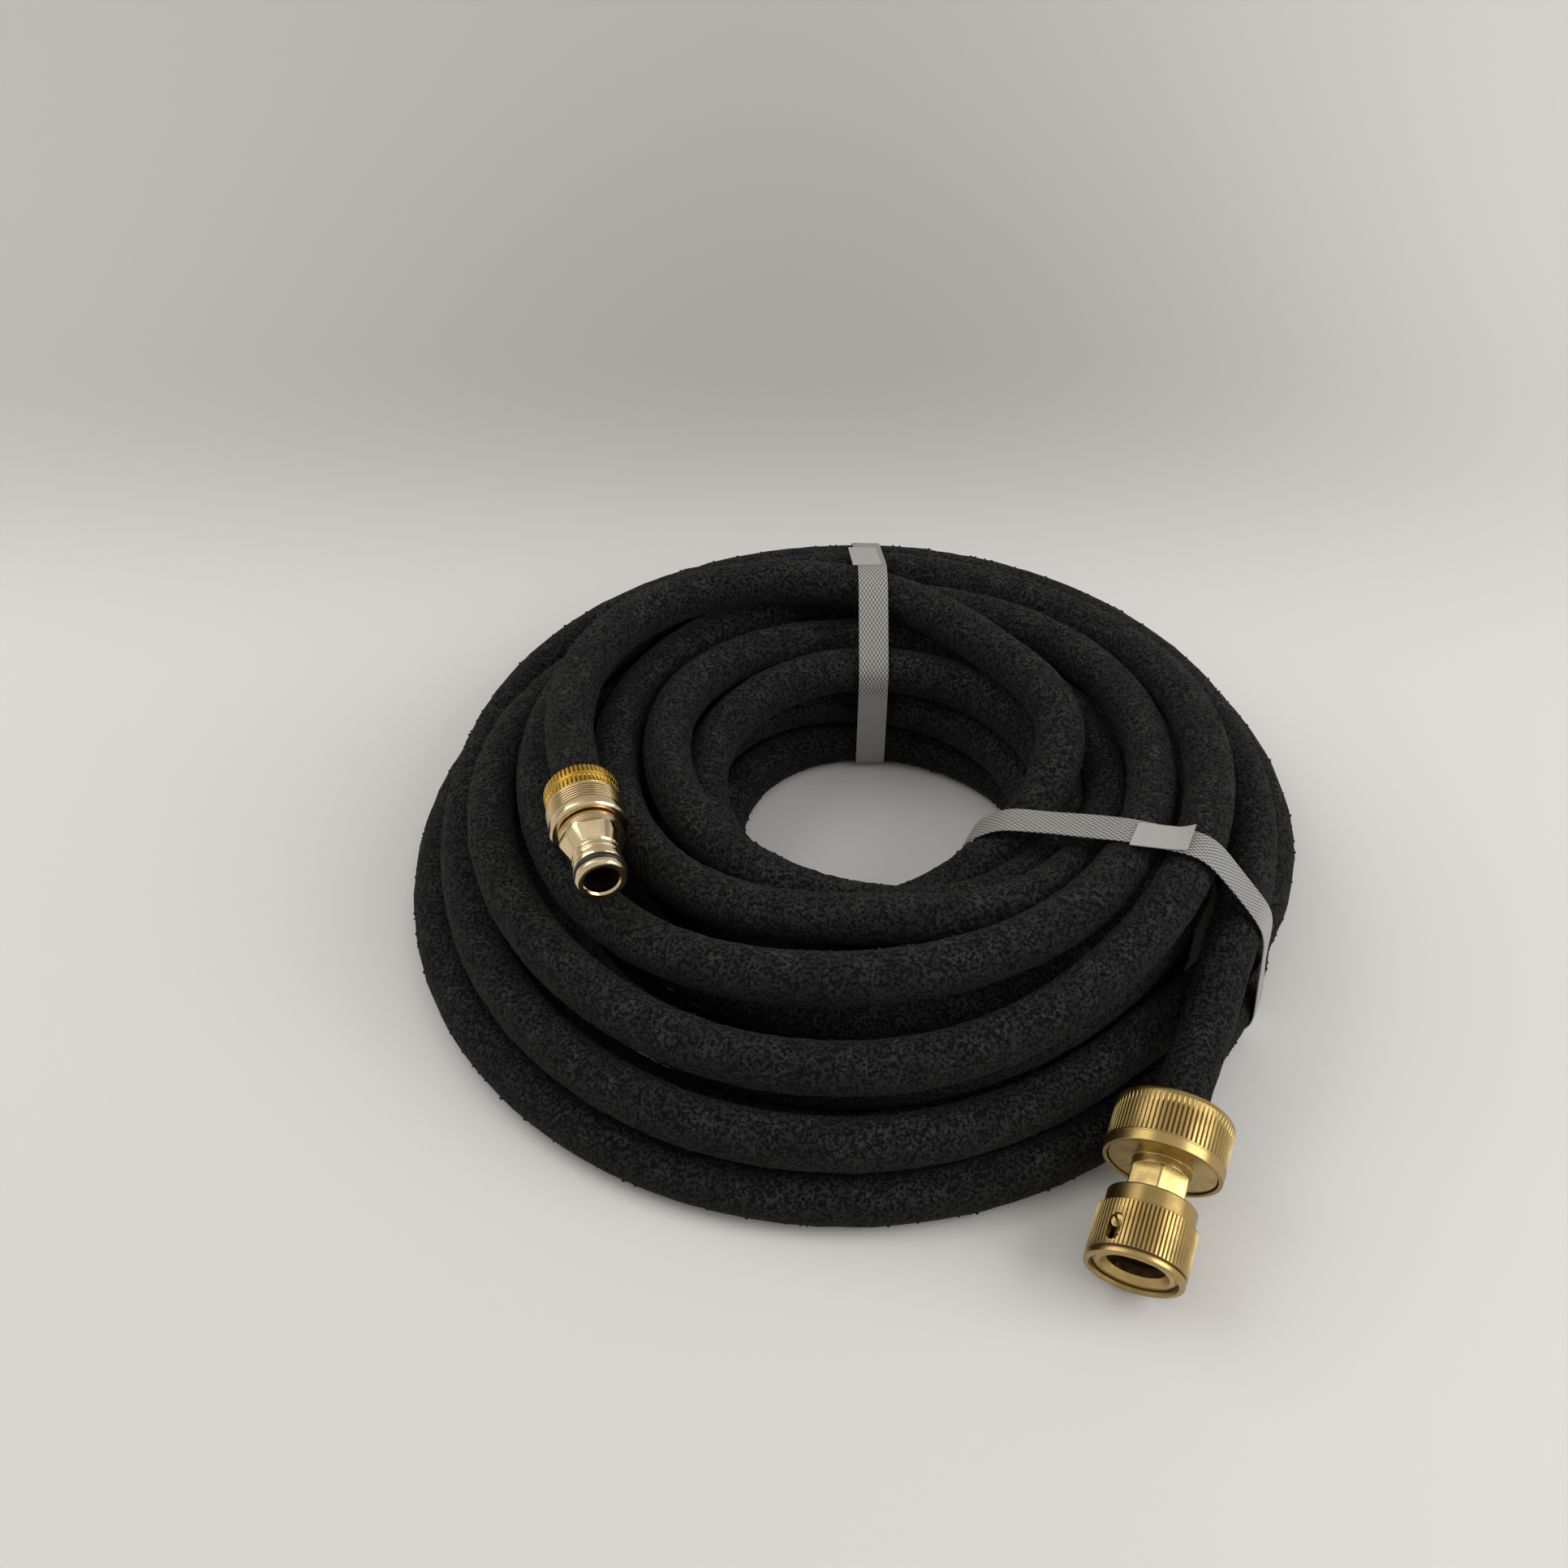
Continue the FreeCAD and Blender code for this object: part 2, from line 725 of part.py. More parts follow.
def band_face(outline, distance):
    """The face inside a band that runs round an outline at a distance."""
    edges = []
    count = len(outline)
    offsets = []
    for index in range(count):
        ax, ay = outline[index]
        bx, by = outline[(index + 1) % count]
        length = math.dist((ax, ay), (bx, by))
        nx, ny = (by - ay) / length, (ax - bx) / length
        offsets.append((nx, ny))
    for index in range(count):
        ax, ay = outline[index]
        bx, by = outline[(index + 1) % count]
        nx, ny = offsets[index]
        start = Vector(ax + nx * distance, ay + ny * distance, 0)
        end = Vector(bx + nx * distance, by + ny * distance, 0)
        edges.append(Part.LineSegment(start, end).toShape())
        mx, my = offsets[(index + 1) % count]
        halfway = unit(Vector(nx + mx, ny + my, 0)) * distance
        arc_end = Vector(bx + mx * distance, by + my * distance, 0)
        edges.append(Part.Arc(end, Vector(bx, by, 0) + halfway, arc_end).toShape())
    return Part.Face(Part.Wire(edges))


def strap_outline(s, strap, points):
    """The convex outline of the hose's turns that a strap holds, in its own plane."""
    frame = strap_plane(s, strap)
    half_width = s.strap_width.value / 2 + s.strap_notch_margin.value
    places = crossing_places(frame, points, s.hose_diameter.value / 2, half_width, STRAP_REACH)
    return frame, simplified(convex_outline(places), STRAP_LEAST_SIDE)


def strap_solid(s, strap, points):
    """A strap band: a flat tape drawn tight round the whole bundle, flat on the floor."""
    frame, outline = strap_outline(s, strap, points)
    inside = s.strap_clearance.value
    thickness = s.strap_thickness.value
    width = s.strap_width.value
    outer = band_face(outline, inside + thickness)
    inner = band_face(outline, inside)
    band = clipped(outer, 0.0, width).cut(clipped(inner, thickness, width + 2.0))
    band.Placement = frame
    return Part.Solid(band.Solids[0]) if band.ShapeType != "Solid" else band


def clipped(face, floor, width):
    """A face drawn out over a width, with what lies under a floor height cut away."""
    solid = face.extrude(Vector(0, 0, width))
    solid.translate(Vector(0, 0, -width / 2))
    box = solid.BoundBox
    room = Part.makeBox(box.XLength + 2, box.YLength + 2, width + 2,
                        Vector(box.XMin - 1, floor, -width / 2 - 1))
    return solid.common(room)


def floor_cutters(s, points):
    """What the floor and the two straps press flat under the hose."""
    depth = s.hose_diameter.value
    size = 2.5 * s.floor_turn_radius.value
    floor = Part.makeBox(size, size, depth, coil_centre(s) + Vector(-size / 2, -size / 2, -depth))
    cutters = [floor]
    for strap in (STRAP_BACK, STRAP_RIGHT):
        frame, outline = strap_outline(s, strap, points)
        first = min(place[0] for place in outline) - depth
        last = max(place[0] for place in outline) + depth
        width = s.strap_width.value + 2 * s.strap_notch_margin.value
        height = s.strap_thickness.value + s.strap_clearance.value
        notch = Part.makeBox(last - first, height, width, Vector(first, 0, -width / 2))
        notch.Placement = frame
        cutters.append(notch)
    return cutters


def coil_feature(doc, s):
    """The hose as one feature, with its checks printed."""
    edges, radii = joined_arcs(route_nodes(s))
    diameter = s.hose_diameter.value
    points = line_points(edges, 3.0)
    length = sum(edge.Length for edge in edges)
    gap = least_gap(points, diameter, 6.0 * diameter)
    print("hose length %.0f mm, tightest arc %.1f mm, least gap %.2f mm"
          % (length, min(radii), gap))
    if gap < s.least_turn_gap.value - 0.35:
        raise RuntimeError("the hose meets itself")
    solid = hose_solid(s, edges)
    section = math.pi / 4 * (diameter ** 2 - s.hose_bore.value ** 2)
    print("tube volume %.0f mm3, section times length %.0f mm3"
          % (solid.Volume, section * length))
    solid = solid.cut(floor_cutters(s, points))
    hose = doc.addObject("Part::Feature", "soaker_hose")
    hose.Label = "soaker_hose"
    hose.Shape = solid
    return hose, points


def strap_feature(doc, s, label, strap, points):
    band = doc.addObject("Part::Feature", label)
    band.Label = label
    band.Shape = strap_solid(s, strap, points)
    return band


# The female connector

def barbs(s, tail_end):
    """The corners of a hose tail's barbs, from its tip back."""
    tail = s.hose_bore / 2 - s.tail_clearance
    crest = tail + s.barb_height
    corners = [(tail - s.barb_height, tail_end)]
    for index in range(BARBS):
        foot = tail_end - s.barb_pitch * (index + 0.6)
        corners.append((crest, foot))
        corners.append((tail, foot))
        if index < BARBS - 1:
            corners.append((tail, tail_end - s.barb_pitch * (index + 1.0)))
    return corners


def female_body(doc, s):
    """The socket with its ball holes, hexagon neck, flange, threaded skirt and hose tail."""
    flange_end = s.female_flange_front + s.female_flange_length
    hose_room = s.hose_diameter / 2 + s.hose_clearance
    tail = s.hose_bore / 2 - s.tail_clearance
    ring_floor = socket_radius(s) - s.ring_groove_depth
    ring_end = s.ring_groove_start + s.ring_thickness + s.sliding_gap
    collar_start = s.socket_end - s.socket_collar_length
    hexagon_end = s.neck_hexagon_start + s.neck_hexagon_length
    lead_in = socket_bore(s) + s.socket_lead_in_width
    relief_end = s.bore_relief_start + s.bore_relief_length
    corners = [
        (lead_in, s.socket_front),
        (socket_radius(s), s.socket_front),
        (socket_radius(s), s.ring_groove_start),
        (ring_floor, s.ring_groove_start),
        (ring_floor, ring_end),
        (socket_radius(s), ring_end),
        (socket_radius(s), s.socket_step),
        (socket_waist(s), s.socket_step),
        (socket_waist(s), collar_start),
        (socket_radius(s), collar_start),
        (socket_radius(s), s.socket_end),
        (s.neck_groove_radius, s.socket_end),
        (s.neck_groove_radius, hexagon_end),
        (s.neck_radius, hexagon_end),
        (s.neck_radius, s.female_flange_front),
        (female_flange_radius(s), s.female_flange_front),
        (female_flange_radius(s), flange_end),
        (female_skirt_radius(s), flange_end),
        (female_skirt_radius(s), s.female_skirt_end),
        (hose_room, s.female_skirt_end),
        (hose_room, s.female_hose_end - s.clamp_clearance),
        (tail, s.female_hose_end - s.clamp_clearance),
    ]
    corners += reversed(barbs(s, s.female_tail_end))
    corners += [
        (s.waterway_radius, s.female_tail_end),
        (s.waterway_radius, s.socket_floor),
        (socket_bore(s), s.socket_floor),
        (socket_bore(s), relief_end),
        (socket_bore(s) + s.bore_relief_depth, relief_end),
        (socket_bore(s) + s.bore_relief_depth, s.bore_relief_start),
        (socket_bore(s), s.bore_relief_start),
        (socket_bore(s), s.socket_front + s.socket_lead_in),
    ]
    turning = turned_body(doc, "female_body_turning", corners)
    hexagon = hexagon_neck(doc, s)
    joined = doc.addObject("Part::MultiFuse", "female_body_blank")
    joined.Shapes = [turning, hexagon]
    holes = doc.addObject("Part::MultiFuse", "female_body_holes")
    holes.Shapes = ball_holes(doc, s) + [
        radial_drill(doc, s, "screw_hole", s.guide_screw_shank + 0.05,
                     (socket_radius(s) - s.guide_screw_depth) - 0.2, s.guide_screw_place, s.window_turn),
        radial_drill(doc, s, "window_drilling", s.drilling_radius,
                     socket_radius(s) - 1.2, s.drilling_place, s.window_turn),
    ]
    body = doc.addObject("Part::Cut", "female_connector_body")
    body.Base = joined
    body.Tool = holes
    return body


def hexagon_neck(doc, s):
    """The spanner hexagon of the neck, with its corners turned off at both ends."""
    prism = doc.addObject("Part::Prism", "neck_prism")
    prism.Polygon = 6
    bind(prism, "Circumradius", s.neck_hexagon / math.sqrt(3.0))
    bind(prism, "Height", s.neck_hexagon_length)
    bind(prism, "Placement.Base.z", s.neck_hexagon_start)
    half = s.neck_hexagon / 2
    corner = s.neck_hexagon * 0.62
    middle = s.neck_hexagon_start + s.neck_hexagon_length / 2
    rounding = turned_body(doc, "neck_rounding", [
        (s.waterway_radius + 1.0, s.neck_hexagon_start),
        (half, s.neck_hexagon_start),
        (corner, s.neck_hexagon_start + 1.0),
        (corner, middle),
        (corner, s.neck_hexagon_start + s.neck_hexagon_length - 1.0),
        (half, s.neck_hexagon_start + s.neck_hexagon_length),
        (s.waterway_radius + 1.0, s.neck_hexagon_start + s.neck_hexagon_length),
    ])
    neck = doc.addObject("Part::Common", "neck_hexagon_piece")
    neck.Base = rounding
    neck.Tool = prism
    return neck


def radial_drill(doc, s, name, radius, foot, along, turn):
    """A drill that enters a connector square to its axis, down to a foot radius."""
    drill = doc.addObject("Part::Cylinder", name)
    bind(drill, "Radius", radius)
    drill.Height = value_of(socket_radius(s)) + 4.0 - value_of(foot)
    way = Rotation(ALONG, value_of(turn)).multiply(Rotation(ACROSS, 90.0))
    place = way.multVec(Vector(0, 0, value_of(foot))) + Vector(0, 0, value_of(along))
    drill.Placement = Placement(place, way)
    return drill


def ball_turns(s):
    """The turns about the axis at which the locking balls stand, between the window."""
    count = int(s.ball_count.value)
    first = s.window_turn.value + FULL_TURN / (2 * count)
    return [first + FULL_TURN * index / count for index in range(count)]


def ball_holes(doc, s):
    return [
        radial_drill(doc, s, "ball_hole_%d" % number, s.ball_radius + s.ball_clearance,
                     socket_bore(s) - 1.0, s.ball_place, turn)
        for number, turn in enumerate(ball_turns(s), start=1)
    ]


def locking_balls(doc, s, frame):
    """The balls that lock the plug: each stands in its hole through the socket wall."""
    balls = []
    for number, turn in enumerate(ball_turns(s), start=1):
        ball = doc.addObject("Part::Sphere", "locking_ball_%d" % number)
        bind(ball, "Radius", s.ball_radius)
        side = Rotation(ALONG, turn).multVec(OUTWARD * ball_orbit(s).value)
        local = Placement(side + ALONG * s.ball_place.value, Rotation(ALONG, turn))
        ball.Placement = frame.multiply(local)
        balls.append(ball)
    return balls


def release_sleeve(doc, s):
    """The knurled sleeve that frees the plug, with its ball cam and its window."""
    land = socket_radius(s) + s.sliding_gap
    groove_end = s.sleeve_rim_length + s.sleeve_rim_groove
    groove_floor = s.sleeve_radius - s.sleeve_groove_depth
    relief = land + s.ball_lift
    ring_room = land + 0.7
    ramp_start = s.ball_place - 0.15
    ramp_end = ramp_start - s.sleeve_stroke
    recess_end = ramp_end - 1.4
    flange_end = s.sleeve_flange_start + s.sleeve_flange_length
    flange_bore = socket_waist(s) + s.sliding_gap
    corners = [
        (s.sleeve_radius, 0.0001),
        (s.sleeve_radius, s.sleeve_rim_length),
        (groove_floor, s.sleeve_rim_length),
        (groove_floor, groove_end),
        (s.sleeve_radius, groove_end),
        (s.sleeve_radius, s.sleeve_band_start),
        ((s.sleeve_radius - s.sleeve_band_step), s.sleeve_band_start),
        ((s.sleeve_radius - s.sleeve_band_step), s.sleeve_length),
        (land, s.sleeve_length),
        (land, flange_end),
        (flange_bore, flange_end),
        (flange_bore, s.sleeve_flange_start),
        (land, s.sleeve_flange_start),
        (land, ramp_start),
        (relief, ramp_end),
        (relief, recess_end),
        (land, recess_end - 0.2),
        (land, s.sleeve_shoulder),
        (ring_room, s.sleeve_shoulder),
        (ring_room, s.sleeve_mouth_chamfer),
        (ring_room + 0.6, 0.0001),
    ]
    sleeve = turned_body(doc, "release_sleeve_turning", corners)
    rounded(doc, sleeve, "sleeve_mouth_round", s.sleeve_radius, 0.0001, s.sleeve_edge_round)
    rounded(doc, sleeve, "sleeve_band_round", (s.sleeve_radius - s.sleeve_band_step), s.sleeve_length,
            s.sleeve_edge_round)
    knurled(doc, sleeve, "sleeve_knurl", s, s.sleeve_radius, groove_end,
            s.sleeve_band_start - groove_end - 0.4, s.sleeve_ridges)
    window = window_cutter(doc, s)
    cut = doc.addObject("Part::Cut", "release_sleeve")
    cut.Base = sleeve
    cut.Tool = window
    return cut


def window_cutter(doc, s):
    """The rounded slot of the sleeve, as long as its stroke round the guide screw."""
    radius = s.window_width / 2
    front = s.guide_screw_place - s.sleeve_stroke
    ends = []
    for name, along in (("window_front", front), ("window_back", s.guide_screw_place)):
        ends.append(radial_drill(doc, s, name, radius, socket_radius(s) - 1.0, along,
                                 s.window_turn))
    middle = doc.addObject("Part::Box", "window_middle")
    bind(middle, "Width", s.window_width)
    bind(middle, "Height", s.sleeve_stroke)
    bind(middle, "Length", s.sleeve_radius - socket_radius(s) + 2.0)
    turn = Rotation(ALONG, s.window_turn.value)
    corner = Vector(socket_radius(s).value - 1.0, -radius.value, front.value)
    middle.Placement = Placement(turn.multVec(corner), turn)
    window = doc.addObject("Part::MultiFuse", "window_slot")
    window.Shapes = ends + [middle]
    return window


def guide_screw(doc, s):
    """The slotted screw that stands in the sleeve's window and limits its stroke."""
    head_foot = socket_radius(s) + 0.05
    shank = radial_pin(doc, s, "guide_screw_shank_piece", s.guide_screw_shank,
                       (socket_radius(s) - s.guide_screw_depth), head_foot)
    head = radial_pin(doc, s, "guide_screw_head_piece", s.guide_screw_head,
                      head_foot, guide_screw_top(s))
    blank = doc.addObject("Part::MultiFuse", "guide_screw_blank")
    blank.Shapes = [shank, head]
    slot = doc.addObject("Part::Box", "guide_screw_slot_tool")
    bind(slot, "Width", s.guide_screw_slot)
    slot.Length = 2.0
    slot.Height = 2 * value_of(s.guide_screw_head) + 1.0
    turn = Rotation(ALONG, s.window_turn.value).multiply(Rotation(OUTWARD, 35.0))
    across = Vector(guide_screw_top(s).value - 0.7, -s.guide_screw_slot.value / 2,
                    -s.guide_screw_head.value - 0.5)
    slot.Placement = Placement(turn.multVec(across) + ALONG * s.guide_screw_place.value, turn)
    screw = doc.addObject("Part::Cut", "guide_screw")
    screw.Base = blank
    screw.Tool = slot
    return screw


def radial_pin(doc, s, name, radius, foot, top):
    pin = doc.addObject("Part::Cylinder", name)
    bind(pin, "Radius", radius)
    bind(pin, "Height", top - foot)
    way = Rotation(ALONG, s.window_turn.value).multiply(Rotation(ACROSS, 90.0))
    place = way.multVec(Vector(0, 0, value_of(foot))) + ALONG * s.guide_screw_place.value
    pin.Placement = Placement(place, way)
    return pin


def sleeve_spring(doc, s):
    """The spring that pushes the sleeve back over the balls."""
    wire_radius = s.spring_wire.value / 2
    start = s.sleeve_flange_start.value + s.sleeve_flange_length.value + wire_radius + 0.1
    end = s.socket_end.value - s.socket_collar_length.value - wire_radius - 0.1
    middle = (socket_waist(s).value + socket_radius(s).value + s.sliding_gap.value) / 2
    pitch = (end - start) / s.spring_turns.value
    nodes = []
    for step in range(int(s.spring_turns.value * SPRING_ARCS) + 1):
        angle = 2 * math.pi * step / SPRING_ARCS
        outward = Vector(math.cos(angle), math.sin(angle), 0)
        onward = Vector(-math.sin(angle), math.cos(angle), 0)
        place = outward * middle + ALONG * (start + pitch * step / SPRING_ARCS)
        nodes.append((place, unit(onward * (2 * math.pi * middle) + ALONG * pitch)))
    edges, _ = joined_arcs(nodes)
    ring = Part.Wire([Part.makeCircle(wire_radius, *nodes[0])])
    sweep = Part.BRepOffsetAPI.MakePipeShell(Part.Wire(edges))
    sweep.add(ring)
    sweep.build()
    sweep.makeSolid()
    spring = doc.addObject("Part::Feature", "sleeve_spring")
    spring.Shape = sweep.shape()
    return spring


def retaining_ring(doc, s):
    """The snap ring at the mouth that keeps the sleeve on the socket."""
    inner = socket_radius(s) - s.ring_groove_depth + 0.05
    outer = inner + s.ring_height
    start = s.ring_groove_start + s.sliding_gap / 2
    end = start + s.ring_thickness
    return turned_body(doc, "retaining_ring",
                       [(inner, start), (outer, start), (outer, end), (inner, end)])


def socket_seal(doc, s):
    """The rubber washer at the bottom of the socket."""
    start = s.socket_floor - s.seal_thickness
    outer = socket_bore(s) - 0.05
    return turned_body(doc, "socket_seal", [
        (s.seal_bore, start),
        (outer, start),
        (outer, s.socket_floor),
        (s.seal_bore, s.socket_floor),
    ])


def female_nut(doc, s):
    """The big knurled nut that clamps the hose on the female connector's tail."""
    thread = female_skirt_radius(s) + s.thread_clearance
    recess = female_flange_radius(s) + s.clamp_clearance
    rim_end = s.female_nut_front + s.female_nut_rim
    lip = s.female_nut_radius + s.female_nut_lip
    lip_end = rim_end + s.female_nut_lip_length
    hole = s.hose_diameter / 2 + s.hose_clearance
    corners = [
        (recess, s.female_nut_front),
        (s.female_nut_radius - 0.4, s.female_nut_front),
        (s.female_nut_radius, s.female_nut_front + 0.4),
        (s.female_nut_radius, rim_end),
        (lip, rim_end + 0.2),
        (lip, lip_end - 0.2),
        (s.female_nut_radius, lip_end),
        (s.female_nut_radius, s.female_nut_end),
        (hole, s.female_nut_end),
        (hole, s.female_cone_end),
        (thread - 0.6, s.female_nut_bore_end),
        (thread, s.female_nut_bore_end),
        (thread, s.female_nut_front + s.female_nut_recess),
        (recess, s.female_nut_front + s.female_nut_recess),
    ]
    nut = turned_body(doc, "female_compression_nut", corners)
    rounded(doc, nut, "female_nut_dome", s.female_nut_radius, s.female_nut_end,
            s.female_nut_round)
    knurled(doc, nut, "female_nut_knurl", s, s.female_nut_radius, lip_end + 0.3,
            s.female_nut_end - s.female_nut_round - lip_end + 0.3, s.female_nut_ridges)
    return nut


def clamp_ring(doc, label, s, corners, slit_start, slit_length):
    """A split ring that the nut's cone closes on the hose."""
    ring = turned_body(doc, label, corners)
    reach = s.female_nut_radius
    outline = [
        (s.hose_bore / 2, -0.5),
        (reach, -0.5),
        (reach, 0.5),
        (s.hose_bore / 2, 0.5),
    ]
    sketch = outline_sketch(ring, label + "_slit", "XY_Plane", outline)
    slit = pocket_through(doc, ring, label + "_slit_cut", sketch, slit_start, slit_length)
    repeated_round(doc, ring, label + "_slits", slit, sketch, CLAMP_SLITS)
    return ring


def female_clamp(doc, s):
    inner = s.hose_diameter / 2 + s.clamp_clearance
    outer = female_skirt_radius(s) - 1.1
    ring_end = s.female_skirt_end + s.slip_ring_thickness + 0.15
    start = ring_end + 0.1
    end = s.female_cone_end - 0.4
    corners = [
        (inner, start),
        (outer, start),
        (outer, start + 0.3),
        (inner + 0.5, end),
        (inner, end),
    ]
    clamp = clamp_ring(doc, "female_clamp_ring", s, corners, start + 1.2, end - start)
    slip = turned_body(doc, "female_slip_ring", [
        (inner, s.female_skirt_end + 0.15),
        (female_skirt_radius(s) - 0.3, s.female_skirt_end + 0.15),
        (female_skirt_radius(s) - 0.3, ring_end),
        (inner, ring_end),
    ])
    return [clamp, slip]


# The male connector

def male_body(doc, s):
    """The nipple with its seal groove, lock neck, hexagon taper, grooved barrel and tail."""
    hose_room = s.hose_diameter / 2 + s.hose_clearance
    tail = s.hose_bore / 2 - s.tail_clearance
    chamfer = s.male_body_chamfer
    corners = [
        (s.nose_bore + 0.6, 0.0001),
        (s.nose_radius - 0.6, 0.0001),
        (s.nose_radius, 0.6),
        (s.nose_radius, s.nose_lip_end),
        (s.seal_groove_radius, s.nose_lip_end),
        (s.seal_groove_radius, s.seal_groove_end),
        (s.nose_radius, s.seal_groove_end),
        (s.nose_radius, s.nose_collar_end),
        (s.lock_neck_radius, s.lock_neck_start),
        (s.lock_neck_radius, s.lock_neck_end),
        (s.lock_neck_radius + 0.9, s.taper_start),
        (s.taper_radius, s.taper_end),
        (s.taper_radius, s.undercut_start),
        (s.undercut_radius, s.undercut_start),
        (s.undercut_radius, s.male_body_start),
        (s.male_body_radius - chamfer, s.male_body_start),
        (s.male_body_radius, s.male_body_start + chamfer),
    ]
    floor = s.male_body_radius - s.turned_groove_depth
    for index in range(TURNED_GROOVES):
        start = s.turned_groove_start + s.turned_groove_pitch * index
        corners += [
            (s.male_body_radius, start),
            (floor, start + 0.1),
            (floor, start + s.turned_groove_width - 0.1),
            (s.male_body_radius, start + s.turned_groove_width),
        ]
    corners += [
        (s.male_body_radius, s.male_body_end - 0.3),
        (s.male_body_radius - 0.3, s.male_body_end),
        (s.male_cavity_radius, s.male_body_end),
        (s.male_cavity_radius, s.male_cavity_start),
        (hose_room, s.male_cone_start),
        (hose_room, s.male_socket_floor),
        (tail, s.male_socket_floor),
    ]
    corners += reversed(barbs(s, s.male_tail_end))
    corners += [
        (s.waterway_radius, s.male_tail_end),
        (s.waterway_radius, s.male_bore_step + 1.5),
        (s.nose_bore, s.male_bore_step),
        (s.nose_bore, 0.6),
    ]
    body = turned_body(doc, "male_connector_body", corners)
    flat_end = s.undercut_start
    outline = [
        (s.taper_flat_inner, s.lock_neck_end + 0.2),
        (s.taper_flat_outer, s.taper_end + 2.0),
        (s.taper_flat_outer, flat_end),
        (s.male_body_radius, flat_end),
        (s.male_body_radius, s.lock_neck_end + 0.2),
    ]
    sketch = outline_sketch(body, "taper_flat", "XZ_Plane", outline)
    flat = body.newObject("PartDesign::Pocket", "taper_flat_cut")
    flat.Profile = sketch
    flat.Midplane = True
    bind(flat, "Length", s.male_body_radius * 2)
    doc.recompute()
    pattern = body.newObject("PartDesign::PolarPattern", "taper_flats")
    pattern.Originals = [flat]
    pattern.Axis = (sketch, ["V_Axis"])
    pattern.Angle = FULL_TURN
    pattern.Occurrences = 6
    body.Tip = pattern
    doc.recompute()
    return body


def male_seal(doc, s):
    """The O-ring that stands a little proud of the nose."""
    ring = doc.addObject("Part::Torus", "male_o_ring")
    bind(ring, "Radius1", s.seal_groove_radius + s.o_ring_radius + 0.05)
    bind(ring, "Radius2", s.o_ring_radius)
    return ring


def male_nut(doc, s):
    """The small knurled nut whose threaded skirt runs into the male body."""
    skirt = s.male_cavity_radius - s.thread_clearance
    hole = s.hose_diameter / 2 + s.hose_clearance
    band_start = s.male_nut_front + (s.male_nut_end - s.male_nut_front) * 0.42
    band_end = band_start + s.male_nut_band
    corners = [
        (hole, s.male_nut_skirt_start),
        (skirt, s.male_nut_skirt_start),
        (skirt, s.male_nut_front),
        (s.male_nut_radius - 0.3, s.male_nut_front),
        (s.male_nut_radius, s.male_nut_front + 0.3),
        (s.male_nut_radius, band_start),
        (s.male_nut_radius - s.knurl_depth, band_start),
        (s.male_nut_radius - s.knurl_depth, band_end),
        (s.male_nut_radius, band_end),
        (s.male_nut_radius, s.male_nut_end),
        (hole, s.male_nut_end),
    ]
    nut = turned_body(doc, "male_compression_nut", corners)
    rounded(doc, nut, "male_nut_round", s.male_nut_radius, s.male_nut_end, s.male_nut_round)
    knurled(doc, nut, "male_nut_knurl", s, s.male_nut_radius, s.male_nut_front + 0.5,
            s.male_nut_end - s.male_nut_round - s.male_nut_front - 0.3, s.male_nut_ridges)
    return nut


def male_clamp(doc, s):
    inner = s.hose_diameter / 2 + s.clamp_clearance
    outer = s.male_cavity_radius - 0.4
    start = s.male_cone_start + 0.4
    end = s.male_nut_skirt_start - s.slip_ring_thickness - 0.2
    corners = [
        (inner, start),
        (inner + 0.3, start),
        (outer, s.male_cavity_start - 0.1),
        (outer, end),
        (inner, end),
    ]
    clamp = clamp_ring(doc, "male_clamp_ring", s, corners, start - 0.1,
                       end - start - 0.5)
    slip = turned_body(doc, "male_slip_ring", [
        (inner, end + 0.1),
        (outer, end + 0.1),
        (outer, end + 0.1 + s.slip_ring_thickness),
        (inner, end + 0.1 + s.slip_ring_thickness),
    ])
    return [clamp, slip]


def placed(pieces, frame):
    """Puts pieces that were made on their own axis where their connector lies."""
    for piece in pieces:
        own = Placement(piece.Placement)
        piece.Placement = frame.multiply(own)
    return pieces


def female_connector(doc, s):
    frame = fitting_placement(s, "female")
    pieces = [
        female_body(doc, s),
        release_sleeve(doc, s),
        guide_screw(doc, s),
        sleeve_spring(doc, s),
        retaining_ring(doc, s),
        socket_seal(doc, s),
        female_nut(doc, s),
    ] + female_clamp(doc, s)
    doc.recompute()
    placed(pieces, frame)
    return pieces + locking_balls(doc, s, frame)


def male_connector(doc, s):
    frame = fitting_placement(s, "male")
    seal = male_seal(doc, s)
    seal.Placement = Placement(ALONG * ((s.nose_lip_end + s.seal_groove_end) / 2).value,
                               Rotation())
    pieces = [male_body(doc, s), male_nut(doc, s), seal] + male_clamp(doc, s)
    doc.recompute()
    return placed(pieces, frame)


def checked(doc, pieces):
    """Stops at any failed object, and at any piece without a whole, closed shape."""
    for item in doc.Objects:
        if "Invalid" in item.State or "Error" in item.State:
            raise RuntimeError("%s is %s" % (item.Label, item.State))
    for piece in pieces:
        shape = piece.Shape
        if shape.isNull() or not shape.isValid() or not shape.Solids:
            raise RuntimeError(piece.Label + " has no valid shape")


def write_pieces(pieces):
    """Writes each piece to its own STEP file, named after its label."""
    os.makedirs("parts", exist_ok=True)
    for piece in pieces:
        piece.Shape.exportStep("parts/%s.step" % piece.Label)
        print("%-26s solids %d  volume %9.1f" % (
            piece.Label, len(piece.Shape.Solids), piece.Shape.Volume))


def print_reach(pieces):
    """Prints the box that all the pieces fill."""
    box = FreeCAD.BoundBox()
    for piece in pieces:
        box.add(piece.Shape.BoundBox)
    print("box x %.2f to %.2f, y %.2f to %.2f, z %.2f to %.2f"
          % (box.XMin, box.XMax, box.YMin, box.YMax, box.ZMin, box.ZMax))


